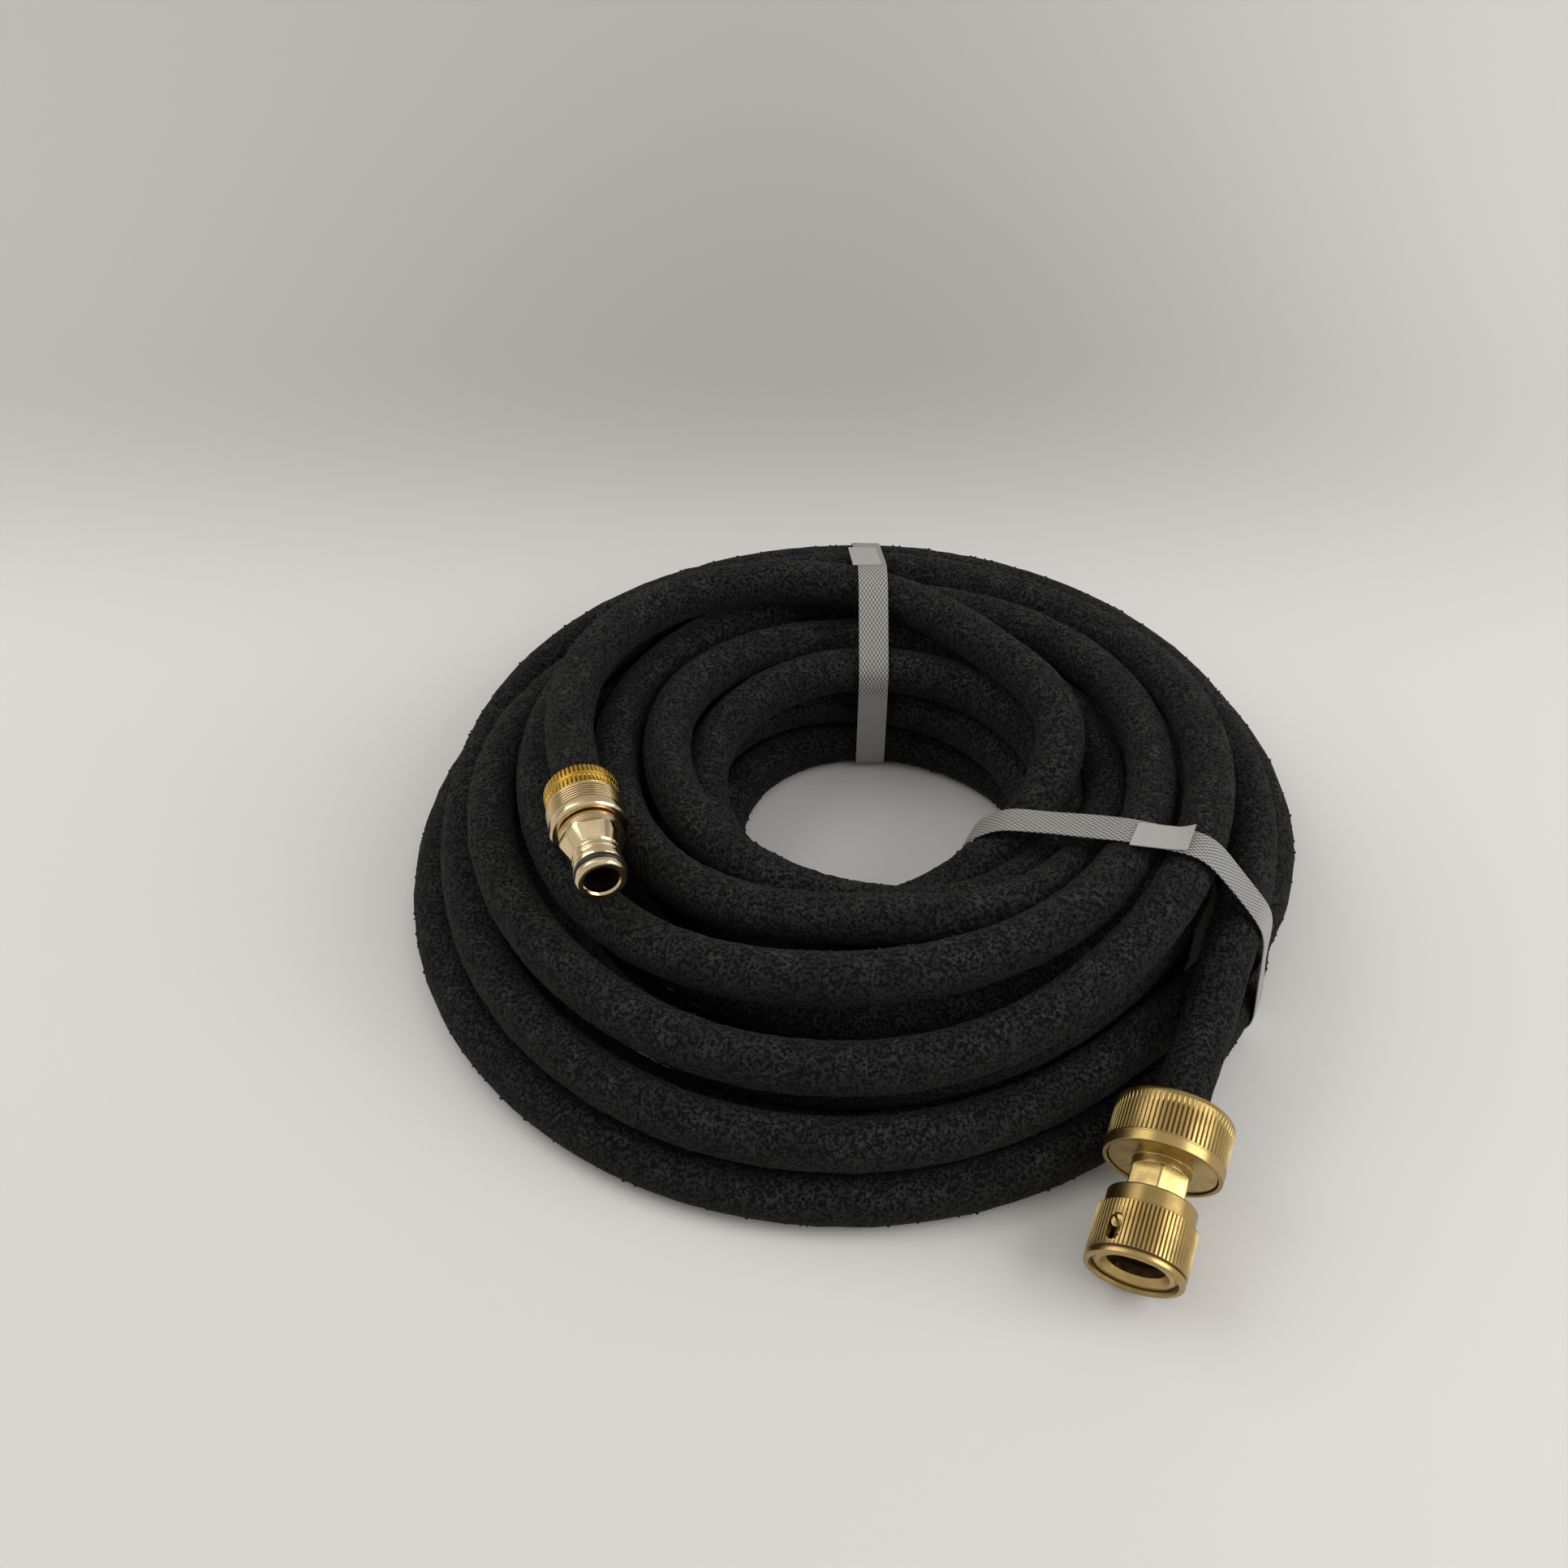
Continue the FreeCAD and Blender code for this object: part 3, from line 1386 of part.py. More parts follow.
def main():
    doc = FreeCAD.newDocument("SoakerHose")
    groups = (HOSE_SIZES, STRAP_SIZES, FEMALE_PLACE, SLEEVE_SIZES, SOCKET_SIZES, BALL_SIZES,
              FEMALE_NUT_SIZES, MALE_PLACE, MALE_SIZES, SHARED_SIZES)
    s = SizeSheet(doc, {name: value for group in groups for name, value in group.items()})
    hose, points = coil_feature(doc, s)
    straps = [
        strap_feature(doc, s, "strap_back", STRAP_BACK, points),
        strap_feature(doc, s, "strap_right", STRAP_RIGHT, points),
    ]
    pieces = [hose] + straps + female_connector(doc, s) + male_connector(doc, s)
    doc.recompute()
    checked(doc, pieces)
    print_reach(pieces)
    write_pieces(pieces)


main()
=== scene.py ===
"""A coiled porous rubber soaker hose with two woven strap bands and its brass quick connectors.

Metres throughout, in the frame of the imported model. Profiles of turned pieces are written in
millimetres as (radius, distance from the mouth, corner rounding).
"""
import logging
import math
from contextlib import contextmanager
from dataclasses import dataclass, field
from enum import Enum
from typing import Any, Callable, Dict, Iterable, Iterator, List, Optional, Sequence, Tuple

import bmesh
import bpy
from mathutils import Matrix, Vector, noise


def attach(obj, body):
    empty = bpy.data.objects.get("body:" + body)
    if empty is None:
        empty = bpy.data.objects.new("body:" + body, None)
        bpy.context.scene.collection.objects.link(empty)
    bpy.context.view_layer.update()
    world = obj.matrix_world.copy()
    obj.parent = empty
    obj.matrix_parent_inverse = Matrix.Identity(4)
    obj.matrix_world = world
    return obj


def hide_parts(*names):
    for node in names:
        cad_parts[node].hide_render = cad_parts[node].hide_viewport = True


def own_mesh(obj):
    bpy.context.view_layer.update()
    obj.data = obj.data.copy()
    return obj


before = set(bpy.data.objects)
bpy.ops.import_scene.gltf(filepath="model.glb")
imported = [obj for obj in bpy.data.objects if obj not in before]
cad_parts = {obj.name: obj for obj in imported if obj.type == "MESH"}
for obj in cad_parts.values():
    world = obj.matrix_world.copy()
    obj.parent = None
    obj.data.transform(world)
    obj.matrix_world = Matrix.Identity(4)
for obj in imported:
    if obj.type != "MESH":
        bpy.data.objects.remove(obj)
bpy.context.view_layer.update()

MM = 0.001
QUARTER = 0.25
TAU = 2 * math.pi
UP = Vector((0.0, 0.0, 1.0))
GROOVE_MARK = "groove"
KNURL_SKIN = 0.0001
RIDGE_FACES = 8
CORNER_ROOM = 0.49
TINY = 1e-6
WELD = 1e-7
BAND_REACH = 0.075

Colour = Tuple[float, ...]
Corner = Tuple[float, float, float]
Flat = Tuple[float, float]
Place = Tuple[float, float, float]
Station = Tuple[float, float, float]
log = logging.getLogger("soaker_hose")


# Node trees

def _maths(operation: str, swapped: bool = False) -> Callable[..., "Wire"]:
    """Makes a method of Wire that adds a Math node.

    Args:
        operation: The node's operation.
        swapped: Whether the wire itself comes last.

    Returns:
        The method.
    """
    def method(wire: "Wire", *others: Any) -> "Wire":
        """Adds the node."""
        values = (*others, wire) if swapped else (wire, *others)
        return wire.graph.node("ShaderNodeMath", {"operation": operation}, dict(enumerate(values)))
    return method


@dataclass(frozen=True)
class Wire:
    """An output of a node that can be used in arithmetic."""

    graph: "NodeGraph"
    socket: Any

    __add__ = __radd__ = _maths("ADD")
    __sub__ = _maths("SUBTRACT")
    __rsub__ = _maths("SUBTRACT", swapped=True)
    __mul__ = __rmul__ = _maths("MULTIPLY")
    __truediv__ = _maths("DIVIDE")
    cosine = _maths("COSINE")
    absolute = _maths("ABSOLUTE")
    root = _maths("SQRT")
    bearing = _maths("ARCTAN2")
    above = _maths("GREATER_THAN")
    larger = _maths("MAXIMUM")

    def smooth(self, low: Any, high: Any, start: float = 0.0, end: float = 1.0) -> "Wire":
        """Carries low to high over to start to end, with a soft start and stop.

        Args:
            low: The value that gives start.
            high: The value that gives end.
            start: The result at and below low.
            end: The result at and above high.

        Returns:
            The carried value.
        """
        values = {"Value": self, "From Min": low, "From Max": high, "To Min": start, "To Max": end}
        return self.graph.node("ShaderNodeMapRange", {"interpolation_type": "SMOOTHSTEP"}, values)

    def other(self, output: Any) -> "Wire":
        """Another output of the same node."""
        return Wire(self.graph, self.socket.node.outputs[output])


class NodeGraph:
    """A node tree that small calls fill."""

    def __init__(self, tree: Any) -> None:
        """Takes the tree."""
        self.tree = tree

    def node(self, kind: str, settings: Optional[Dict[str, Any]] = None,
             values: Optional[Dict[Any, Any]] = None, output: Any = 0) -> Wire:
        """Adds a node.

        Args:
            kind: The node's type.
            settings: Its own settings.
            values: What its input sockets get, by name or number.
            output: The name or number of the output to return.

        Returns:
            The chosen output.
        """
        made = self.tree.nodes.new(kind)
        for name, value in (settings or {}).items():
            setattr(made, name, value)
        for name, value in (values or {}).items():
            self.feed(made.inputs[name], value)
        return Wire(self, made.outputs[output])

    def feed(self, socket: Any, value: Any) -> None:
        """Sets a socket to a value or links a wire to it.

        Args:
            socket: The socket.
            value: A value or a wire.
        """
        if isinstance(value, Wire):
            self.tree.links.new(value.socket, socket)
        else:
            socket.default_value = value

    def parts(self, vector: Wire) -> Tuple[Wire, Wire, Wire]:
        """The three parts of a vector."""
        first = self.node("ShaderNodeSeparateXYZ", None, {0: vector})
        return first, first.other(1), first.other(2)


class Paint(NodeGraph):
    """The node tree of one material, with its Principled shader."""

    def __init__(self, name: str) -> None:
        """Makes an empty material with a shader and an output.

        Args:
            name: The material's name.
        """
        self.material = bpy.data.materials.new(name)
        self.material.use_nodes = True
        super().__init__(self.material.node_tree)
        self.tree.nodes.clear()
        self.shader = self.tree.nodes.new("ShaderNodeBsdfPrincipled")
        output = self.tree.nodes.new("ShaderNodeOutputMaterial")
        self.tree.links.new(self.shader.outputs[0], output.inputs[0])

    def noise(self, vector: Wire, scale: float, detail: float = 2.0, rough: float = 0.5) -> Wire:
        """Fractal noise from 0 to 1.

        Args:
            vector: The place on the piece.
            scale: The number of features in a metre, about.
            detail: How many finer layers it has.
            rough: How strong the finer layers are.

        Returns:
            The noise.
        """
        values = {"Vector": vector, "Scale": scale, "Detail": detail, "Roughness": rough}
        return self.node("ShaderNodeTexNoise", None, values, "Fac")

    def pits(self, vector: Wire, scale: float) -> Wire:
        """Distance from scattered points, in cells."""
        return self.node("ShaderNodeTexVoronoi", {"feature": "F1"},
                         {"Vector": vector, "Scale": scale, "Randomness": 1.0}, "Distance")

    def mark(self, name: str) -> Wire:
        """A value that the mesh's points hold."""
        return self.node("ShaderNodeAttribute", {"attribute_name": name}, None, "Fac")

    def blend(self, share: Any, first: Any, second: Any) -> Wire:
        """Mixes two colours."""
        return self.node("ShaderNodeMix", {"data_type": "RGBA", "clamp_factor": True},
                         {0: share, 6: first, 7: second}, 2)

    def stretched(self, vector: Wire, scale: Tuple[float, float, float]) -> Wire:
        """Stretches a place along its axes."""
        return self.node("ShaderNodeVectorMath", {"operation": "MULTIPLY"}, {0: vector, 1: scale})

    def relief(self, height: Wire, depth: float) -> Wire:
        """A surface's relief, with its depth in metres."""
        return self.node("ShaderNodeBump", None,
                         {"Height": height, "Distance": depth, "Strength": 1.0})


class ShapeTree(NodeGraph):
    """A Geometry Nodes tree with named inputs, which realizes what it makes and paints it."""

    def __init__(self, name: str, source: str, sizes: Sequence[str]) -> None:
        """Makes the tree's inputs and its output.

        Args:
            name: The tree's name.
            source: The name of the geometry that goes in.
            sizes: The names of the numbers that go in.
        """
        super().__init__(bpy.data.node_groups.new(name, "GeometryNodeTree"))
        kinds = {source: "Geometry", **{size: "Float" for size in sizes}, "Finish": "Material"}
        self.names = {
            label: self.tree.interface.new_socket(label, in_out="INPUT",
                                                  socket_type="NodeSocket" + kind).identifier
            for label, kind in kinds.items()}
        self.tree.interface.new_socket("Shape", in_out="OUTPUT", socket_type="NodeSocketGeometry")
        entry = self.tree.nodes.new("NodeGroupInput")
        self.inputs = {label: Wire(self, entry.outputs[label]) for label in kinds}

    def close(self, shape: Wire) -> None:
        """Realizes and paints the shape, and ends the tree.

        Args:
            shape: What the tree has made.
        """
        solid = self.node("GeometryNodeRealizeInstances", None, {0: shape})
        painted = self.node("GeometryNodeSetMaterial", None,
                            {"Geometry": solid, "Material": self.inputs["Finish"]})
        self.feed(self.tree.nodes.new("NodeGroupOutput").inputs[0], painted)

    def applied(self, thing: Any, values: Dict[str, Any]) -> Any:
        """Runs the tree on an object.

        Args:
            thing: The object.
            values: What the tree's inputs get.

        Returns:
            The object with a plain mesh.
        """
        run = thing.modifiers.new("shape", "NODES")
        run.node_group = self.tree
        for label, value in values.items():
            run[self.names[label]] = value
        return baked(thing)


class KnurlTree(ShapeTree):
    """Presses straight ridges into a turned grip, and marks the grooves for painted shade."""

    def __init__(self) -> None:
        """Builds the tree: how deep each point of the grip is pressed in."""
        super().__init__("straight_knurl", "Blank",
                         ("Ridges", "Depth", "Radius", "Start", "End", "Run Out"))
        blank, ridges, depth, radius, start, end, run_out, _ = self.inputs.values()
        x, y, z = self.parts(self.node("GeometryNodeInputPosition"))
        groove = (y.bearing(x) * ridges).cosine().smooth(0.15, 1.0)
        within = z.smooth(start, start + run_out) * (1.0 - z.smooth(end - run_out, end))
        across = (x * x + y * y).root()
        outer = across.above(radius - KNURL_SKIN)
        share = groove * within * (outer * depth) / across * -1.0
        move = self.node("ShaderNodeCombineXYZ", None, {0: x * share, 1: y * share})
        earlier = self.node("GeometryNodeInputNamedAttribute", {"data_type": "FLOAT"},
                            {"Name": GROOVE_MARK}, "Attribute")
        noted = self.node("GeometryNodeStoreNamedAttribute",
                          {"data_type": "FLOAT", "domain": "POINT"},
                          {"Geometry": blank, "Name": GROOVE_MARK,
                           "Value": (groove * within * outer).larger(earlier)})
        self.close(self.node("GeometryNodeSetPosition", None, {"Geometry": noted, "Offset": move}))

    def press(self, thing: Any, finish: Any, ridges: int, depth: float, radius: float,
              start: float, end: float, run_out: float = 0.35) -> Any:
        """Presses ridges into a turned object, with its sizes in millimetres.

        Args:
            thing: The object, on its own axis.
            finish: The material.
            ridges: How many ridges it gets.
            depth: How deep its grooves are.
            radius: The grip's radius.
            start: Where the ridges start along the axis.
            end: Where they end.
            run_out: How long a groove takes to reach its depth.

        Returns:
            The object with a plain mesh.
        """
        return self.applied(thing, {
            "Ridges": float(ridges), "Depth": depth * MM, "Radius": radius * MM,
            "Start": start * MM, "End": end * MM, "Run Out": run_out * MM, "Finish": finish})


class CrumbTree(ShapeTree):
    """Scatters small rubber crumbs over the skin of the hose."""

    def __init__(self) -> None:
        """Builds the tree, with a fixed seed for each draw."""
        super().__init__("loose_crumbs", "Hose", ("Crumbs For Area", "Crumb Size"))
        hose, density, size, _ = self.inputs.values()
        spread = self.node("GeometryNodeDistributePointsOnFaces", None,
                           {"Seed": 11, "Mesh": hose, "Density": density}, "Points")
        cube = self.node("GeometryNodeMeshCube", None, {"Size": size}, "Mesh")
        placed = self.node("GeometryNodeInstanceOnPoints", None, {
            "Points": spread, "Rotation": spread.other("Rotation"), "Instance": cube,
            "Scale": self._drawn((0.5, 0.45, 0.35), (1.5, 1.1, 0.95), 4)})
        self.close(self.node("GeometryNodeRotateInstances", None, {
            "Instances": placed, "Rotation": self._drawn((-0.7, -0.7, 0.0), (0.7, 0.7, TAU), 9)}))

    def _drawn(self, low: Sequence[float], high: Sequence[float], seed: int) -> Wire:
        """A random vector for each crumb."""
        return self.node("FunctionNodeRandomValue", {"data_type": "FLOAT_VECTOR"},
                         {"Min": low, "Max": high, "Seed": seed})


# Finishes

def rgb(red: float, green: float, blue: float) -> Colour:
    """An opaque colour."""
    return (red, green, blue, 1.0)


@dataclass(frozen=True)
class Finish:
    """A material whose own rule says what its shader gets."""

    def make(self, name: str) -> Any:
        """Builds the material.

        Args:
            name: The material's name.

        Returns:
            The material.
        """
        paint = Paint(name)
        place = paint.node("ShaderNodeTexCoord", None, None, "Object")
        for socket, value in self.sockets(paint, place).items():
            paint.feed(paint.shader.inputs[socket.replace("_", " ")], value)
        return paint.material

    def sockets(self, paint: Paint, place: Wire) -> Dict[str, Any]:
        """What the shader's sockets get, by name, with _ for a space."""
        raise NotImplementedError


@dataclass(frozen=True)
class CrumbRubber(Finish):
    """Porous hose rubber: matt pressed crumbs with pores and paler patches of dust, with painted
    shade in the pores, painted light on top and painted glints on pale specks.
    """

    # Near black: the painted shade inside pores and pinholes.
    pitch: Colour = rgb(0.0007, 0.0007, 0.0008)
    deep: Colour = rgb(0.0020, 0.0020, 0.0022)
    plain: Colour = rgb(0.0120, 0.0121, 0.0122)
    # The tone of dust, also laid on the hose's upper side as painted light.
    dust_lit_tone: Colour = rgb(0.042, 0.0418, 0.0410)
    # Pale crumb specks with painted glints.
    glint_fleck: Colour = rgb(0.13, 0.128, 0.122)
    crumb_relief: float = 0.0010
    dryness: float = 0.9

    def sockets(self, paint: Paint, place: Wire) -> Dict[str, Any]:
        """Crumbs, pores and pinholes in painted shade, pale specks with painted glints, and dust
        with painted light on what faces upwards.

        Args:
            paint: The material's tree.
            place: The place on the piece.

        Returns:
            What the shader's sockets get.
        """
        # How far each point faces upwards: dust lies there, and light is painted there too.
        lit_upward = paint.mark("dust_and_top_light")
        crumbs = paint.noise(place, 900.0, 2.0, 0.6)
        fine = paint.noise(place, 2100.0, 2.0, 0.6)
        patches = paint.noise(place, 150.0, 3.0, 0.65)
        lumps = paint.noise(place, 430.0, 2.0, 0.55)
        pores = paint.pits(place, 370.0).smooth(0.13, 0.23)
        pinholes = paint.pits(place, 760.0).smooth(0.12, 0.30)
        colour = paint.blend(crumbs.smooth(0.40, 0.57), self.deep, self.plain)
        # Dust in patches, painted stronger on what faces upwards, so it is also painted top light.
        dust = (patches.smooth(0.40, 0.70) * 0.55 + 0.16) * crumbs.smooth(0.44, 0.60) * (
            lit_upward * 0.9 + 0.1)
        colour = paint.blend(dust, colour, self.dust_lit_tone)
        # Pale crumb specks with painted glints, stronger on what faces upwards.
        specks = fine.smooth(0.60, 0.72) * crumbs.smooth(0.48, 0.62)
        pale = specks * (patches.smooth(0.42, 0.66) * 0.55 + 0.10) * (lit_upward * 0.7 + 0.3)
        colour = paint.blend(pale, colour, self.glint_fleck)
        # Painted shade: pores and pinholes go near black.
        shaded_pores = pores * (pinholes * 0.6 + 0.4)
        colour = paint.blend(shaded_pores, self.pitch, colour)
        height = crumbs * 0.55 + fine * 0.22 + lumps * 0.55 + shaded_pores * 0.5
        return dict(Base_Color=colour, Roughness=self.dryness - specks * 0.25, IOR=1.45,
                    Specular_IOR_Level=0.14, Sheen_Weight=0.02, Sheen_Roughness=0.5,
                    Normal=paint.relief(height, self.crumb_relief))


@dataclass(frozen=True)
class Webbing(Finish):
    """Flat white woven polyester tape: staggered floats, with painted shade between them, that fade
    where it is welded smooth.
    """

    float_width: float = 0.0013
    float_length: float = 0.0021
    bright: Colour = rgb(0.43, 0.423, 0.396)
    # The painted shade between the floats.
    gap_shade: Colour = rgb(0.09, 0.088, 0.081)
    welded: Colour = rgb(0.27, 0.263, 0.243)
    fused: Colour = rgb(0.46, 0.452, 0.424)
    thread: Colour = rgb(0.26, 0.26, 0.25)
    float_relief: float = 0.00016

    def sockets(self, paint: Paint, place: Wire) -> Dict[str, Any]:
        """The weave, on the tape's own map in metres, along and across.

        Args:
            paint: The material's tree.
            place: Not used.

        Returns:
            What the shader's sockets get.
        """
        tape = paint.node("ShaderNodeUVMap", {"uv_map": "tape"})
        woven = paint.mark("woven")
        along, across, _ = paint.parts(tape)
        swing = (paint.noise(paint.stretched(tape, (160.0, 500.0, 0.0)), 1.0) - 0.5) * 0.9
        rows = (along * (TAU / self.float_length) + swing).cosine()
        columns = (across * (TAU / self.float_width) + swing).cosine()
        raised = (rows * columns).smooth(-0.45, 0.50)
        threads = paint.noise(paint.stretched(tape, (350.0, 9000.0, 0.0)), 1.0)
        # Painted shade in the gaps between the raised floats.
        colour = paint.blend(woven * (1.0 - raised), self.bright, self.gap_shade)
        colour = paint.blend((1.0 - woven) * 0.85, colour, self.welded)
        colour = paint.blend(paint.mark("fused") * 0.6, colour, self.fused)
        colour = paint.blend(threads.smooth(0.35, 0.7, 0.22, 0.0), colour, self.thread)
        return dict(Base_Color=colour, Roughness=0.46 - raised * woven * 0.14 + threads * 0.08,
                    IOR=1.5, Subsurface_Weight=0.12, Subsurface_Scale=0.001,
                    Normal=paint.relief(raised * woven + threads * 0.16, self.float_relief))


@dataclass(frozen=True)
class TurnedBrass(Finish):
    """Brass turned on a lathe, with fine tool lines round the connector's axis."""

    placing: Matrix
    plain: Colour
    dull: Colour
    warm: Colour
    gloss: float = 0.3
    spread: float = 0.14
    tool_lines: float = 0.3
    relief: float = 0.000022
    patch_scale: float = 130.0
    # The colour of the painted shade in grooves and hollows.
    groove_shade: Colour = rgb(0.085, 0.05, 0.018)

    def sockets(self, paint: Paint, place: Wire) -> Dict[str, Any]:
        """Patches, tool lines and smears, with painted shade in the marked grooves.

        Args:
            paint: The material's tree.
            place: The place on the piece.

        Returns:
            What the shader's sockets get.
        """
        place = paint.node("ShaderNodeMapping", {"vector_type": "TEXTURE"}, {
            "Vector": place, "Location": self.placing.to_translation(),
            "Rotation": self.placing.to_euler()[:]})
        patches = paint.noise(place, self.patch_scale, 3.0, 0.6)
        blush = paint.noise(paint.stretched(place, (1.0, 1.0, 0.5)), self.patch_scale * 0.55)
        grain = paint.noise(place, 2600.0, 2.0, 0.6)
        lines = paint.noise(paint.stretched(place, (60.0, 60.0, 5200.0)), 1.0, 2.0, 0.6)
        smears = paint.noise(paint.stretched(place, (420.0, 420.0, 90.0)), 1.0, 3.0, 0.6)
        dim = patches.smooth(0.42, 0.72) * 0.75
        colour = paint.blend(dim, self.plain, self.dull)
        colour = paint.blend(blush.smooth(0.5, 0.72) * 0.6, colour, self.warm)
        colour = paint.blend(grain.smooth(0.58, 0.75) * 0.2, colour, self.dull)
        rough = self.gloss + dim * self.spread + (smears - 0.5) * self.spread + (lines - 0.5) * 0.12
        # Painted shade in knurl grooves, ring grooves, undercuts and bores.
        groove_shade_share = paint.mark(GROOVE_MARK).smooth(0.4, 1.0) * 0.88
        return dict(Base_Color=paint.blend(groove_shade_share, colour, self.groove_shade), Roughness=rough + groove_shade_share * 0.25,
                    Metallic=1.0,
                    Normal=paint.relief(lines * self.tool_lines + grain * 0.35, self.relief))


@dataclass(frozen=True)
class BareSteel(Finish):
    """Polished or drawn steel with faint rubbing marks."""

    plain: Colour = rgb(0.62, 0.62, 0.63)
    gloss: float = 0.22
    rubbed: Colour = rgb(0.32, 0.31, 0.3)

    def sockets(self, paint: Paint, place: Wire) -> Dict[str, Any]:
        """Rubbing marks.

        Args:
            paint: The material's tree.
            place: The place on the piece.

        Returns:
            What the shader's sockets get.
        """
        marks = paint.noise(place, 700.0, 3.0, 0.6)
        colour = paint.blend(marks.smooth(0.5, 0.8) * 0.5, self.plain, self.rubbed)
        return dict(Base_Color=colour, Roughness=self.gloss + marks * 0.12, Metallic=1.0,
                    Normal=paint.relief(marks, 0.00001))


@dataclass(frozen=True)
class MouldedSeal(Finish):
    """Smooth moulded rubber or plastic with a faint bloom."""

    plain: Colour = rgb(0.012, 0.012, 0.013)
    bloom: Colour = rgb(0.035, 0.035, 0.036)
    gloss: float = 0.42

    def sockets(self, paint: Paint, place: Wire) -> Dict[str, Any]:
        """A bloom of dust.

        Args:
            paint: The material's tree.
            place: The place on the piece.

        Returns:
            What the shader's sockets get.
        """
        dust = paint.noise(place, 380.0, 4.0, 0.65)
        colour = paint.blend(dust.smooth(0.5, 0.8), self.plain, self.bloom)
        return dict(Base_Color=colour, Roughness=self.gloss + dust * 0.15,
                    Normal=paint.relief(dust, 0.00003))


@dataclass(frozen=True)
class PaleSweep(Finish):
    """The plain pale paper of the studio floor, with painted shade where it bends up into the wall.
    """

    floor: Colour = rgb(0.70, 0.686, 0.658)
    # The wall's painted shade on the left, painted shadow in the middle and painted light on the
    # right.
    left: Colour = rgb(0.472, 0.462, 0.441)
    middle: Colour = rgb(0.375, 0.37, 0.355)
    right: Colour = rgb(0.61, 0.599, 0.574)

    def sockets(self, paint: Paint, place: Wire) -> Dict[str, Any]:
        """The floor's tone, and the wall's painted light and shade from left to right, with a
        painted shadow in the middle.

        Args:
            paint: The material's tree.
            place: The place on the piece.

        Returns:
            What the shader's sockets get.
        """
        across, back, _ = paint.parts(place)
        wall = paint.blend(across.smooth(-0.05, 0.40), self.left, self.right)
        # A painted shadow in the middle of the wall, weaker higher up.
        wall_shadow = (1.0 - (across + 0.02).absolute().smooth(0.0, 0.42)) * (
            1.0 - back.smooth(0.36, 0.62) * 0.8)
        wall = paint.blend(wall_shadow, wall, self.middle)
        # Painted shade where the floor bends up into the wall.
        return dict(Base_Color=paint.blend(back.smooth(0.11, 0.36), self.floor, wall),
                    Roughness=0.7, Specular_IOR_Level=0.2)


# Mesh helpers

@contextmanager
def edited(mesh: Any) -> Iterator[Any]:
    """Opens a mesh for editing, and writes it back.

    Args:
        mesh: The mesh.

    Yields:
        Its open copy.
    """
    work = bmesh.new()
    work.from_mesh(mesh)
    yield work
    work.to_mesh(mesh)
    work.free()


def new_object(name: str, mesh: Any) -> Any:
    """Links a new object with that data to the scene.

    Args:
        name: Its name.
        mesh: Its data.

    Returns:
        The object.
    """
    made = bpy.data.objects.new(name, mesh)
    bpy.context.scene.collection.objects.link(made)
    return made


def mesh_of(name: str, points: Iterable[Sequence[float]], faces: Iterable[Sequence[int]]) -> Any:
    """A mesh from points and faces, with its faces turned outwards.

    Args:
        name: The mesh's name.
        points: The corners.
        faces: The corner numbers of each face.

    Returns:
        The mesh.
    """
    mesh = bpy.data.meshes.new(name)
    mesh.from_pydata([tuple(p) for p in points], [], [tuple(f) for f in faces])
    with edited(mesh) as work:
        bmesh.ops.recalc_face_normals(work, faces=work.faces)
    return mesh


def fresh_mesh(thing: Any) -> Any:
    """The mesh that an object shows, with its modifiers.

    Args:
        thing: The object.

    Returns:
        A new mesh.
    """
    bpy.context.view_layer.update()
    seen = thing.evaluated_get(bpy.context.evaluated_depsgraph_get())
    return bpy.data.meshes.new_from_object(seen)


def baked(thing: Any) -> Any:
    """Applies an object's modifiers, and leaves it with a plain mesh.

    Args:
        thing: The object.

    Returns:
        The object.
    """
    mesh = fresh_mesh(thing)
    thing.modifiers.clear()
    thing.data = mesh
    return thing


def carved(thing: Any, cutter: Any) -> None:
    """Cuts a mesh out of an object.

    Args:
        thing: What is cut.
        cutter: The shape that is taken away.
    """
    tool = new_object("cutter", cutter)
    cut = thing.modifiers.new("cut", "BOOLEAN")
    cut.operation = "DIFFERENCE"
    cut.solver = "EXACT"
    cut.object = tool
    baked(thing)
    bpy.data.objects.remove(tool)


def marks_on(mesh: Any, name: str) -> Any:
    """The values that a mesh's points hold under a name, new if there are none.

    Args:
        mesh: The mesh.
        name: The name that its finish reads.

    Returns:
        One item for each point.
    """
    if name not in mesh.attributes:
        mesh.attributes.new(name, "FLOAT", "POINT")
    return mesh.attributes[name].data


def rounded_outline(corners: Sequence[Corner], steps: int) -> List[Flat]:
    """Rounds the corners of a closed outline.

    Args:
        corners: The outline's corners, each with its rounding.
        steps: How many runs a rounded corner has.

    Returns:
        The rounded outline.
    """
    outline: List[Flat] = []
    for index, (x, y, rounding) in enumerate(corners):
        here = Vector((x, y))
        before = Vector(corners[index - 1][:2]) - here
        after = Vector(corners[(index + 1) % len(corners)][:2]) - here
        room = CORNER_ROOM * min(before.length, after.length)
        if rounding <= 0.0 or room < TINY:
            outline.append((x, y))
            continue
        reach = min(rounding / math.tan(before.angle(after) / 2), room)
        start = here + before.normalized() * reach
        end = here + after.normalized() * reach
        for step in range(steps + 1):
            share = step / steps
            point = start * (1 - share) ** 2 + here * (2 * share * (1 - share)) + end * share ** 2
            outline.append((point.x, point.y))
    return outline


def ring_faces(here: int, there: int, count: int) -> List[Tuple[int, ...]]:
    """The faces between two rings of points."""
    return [(here + k, here + (k + 1) % count, there + (k + 1) % count, there + k)
            for k in range(count)]


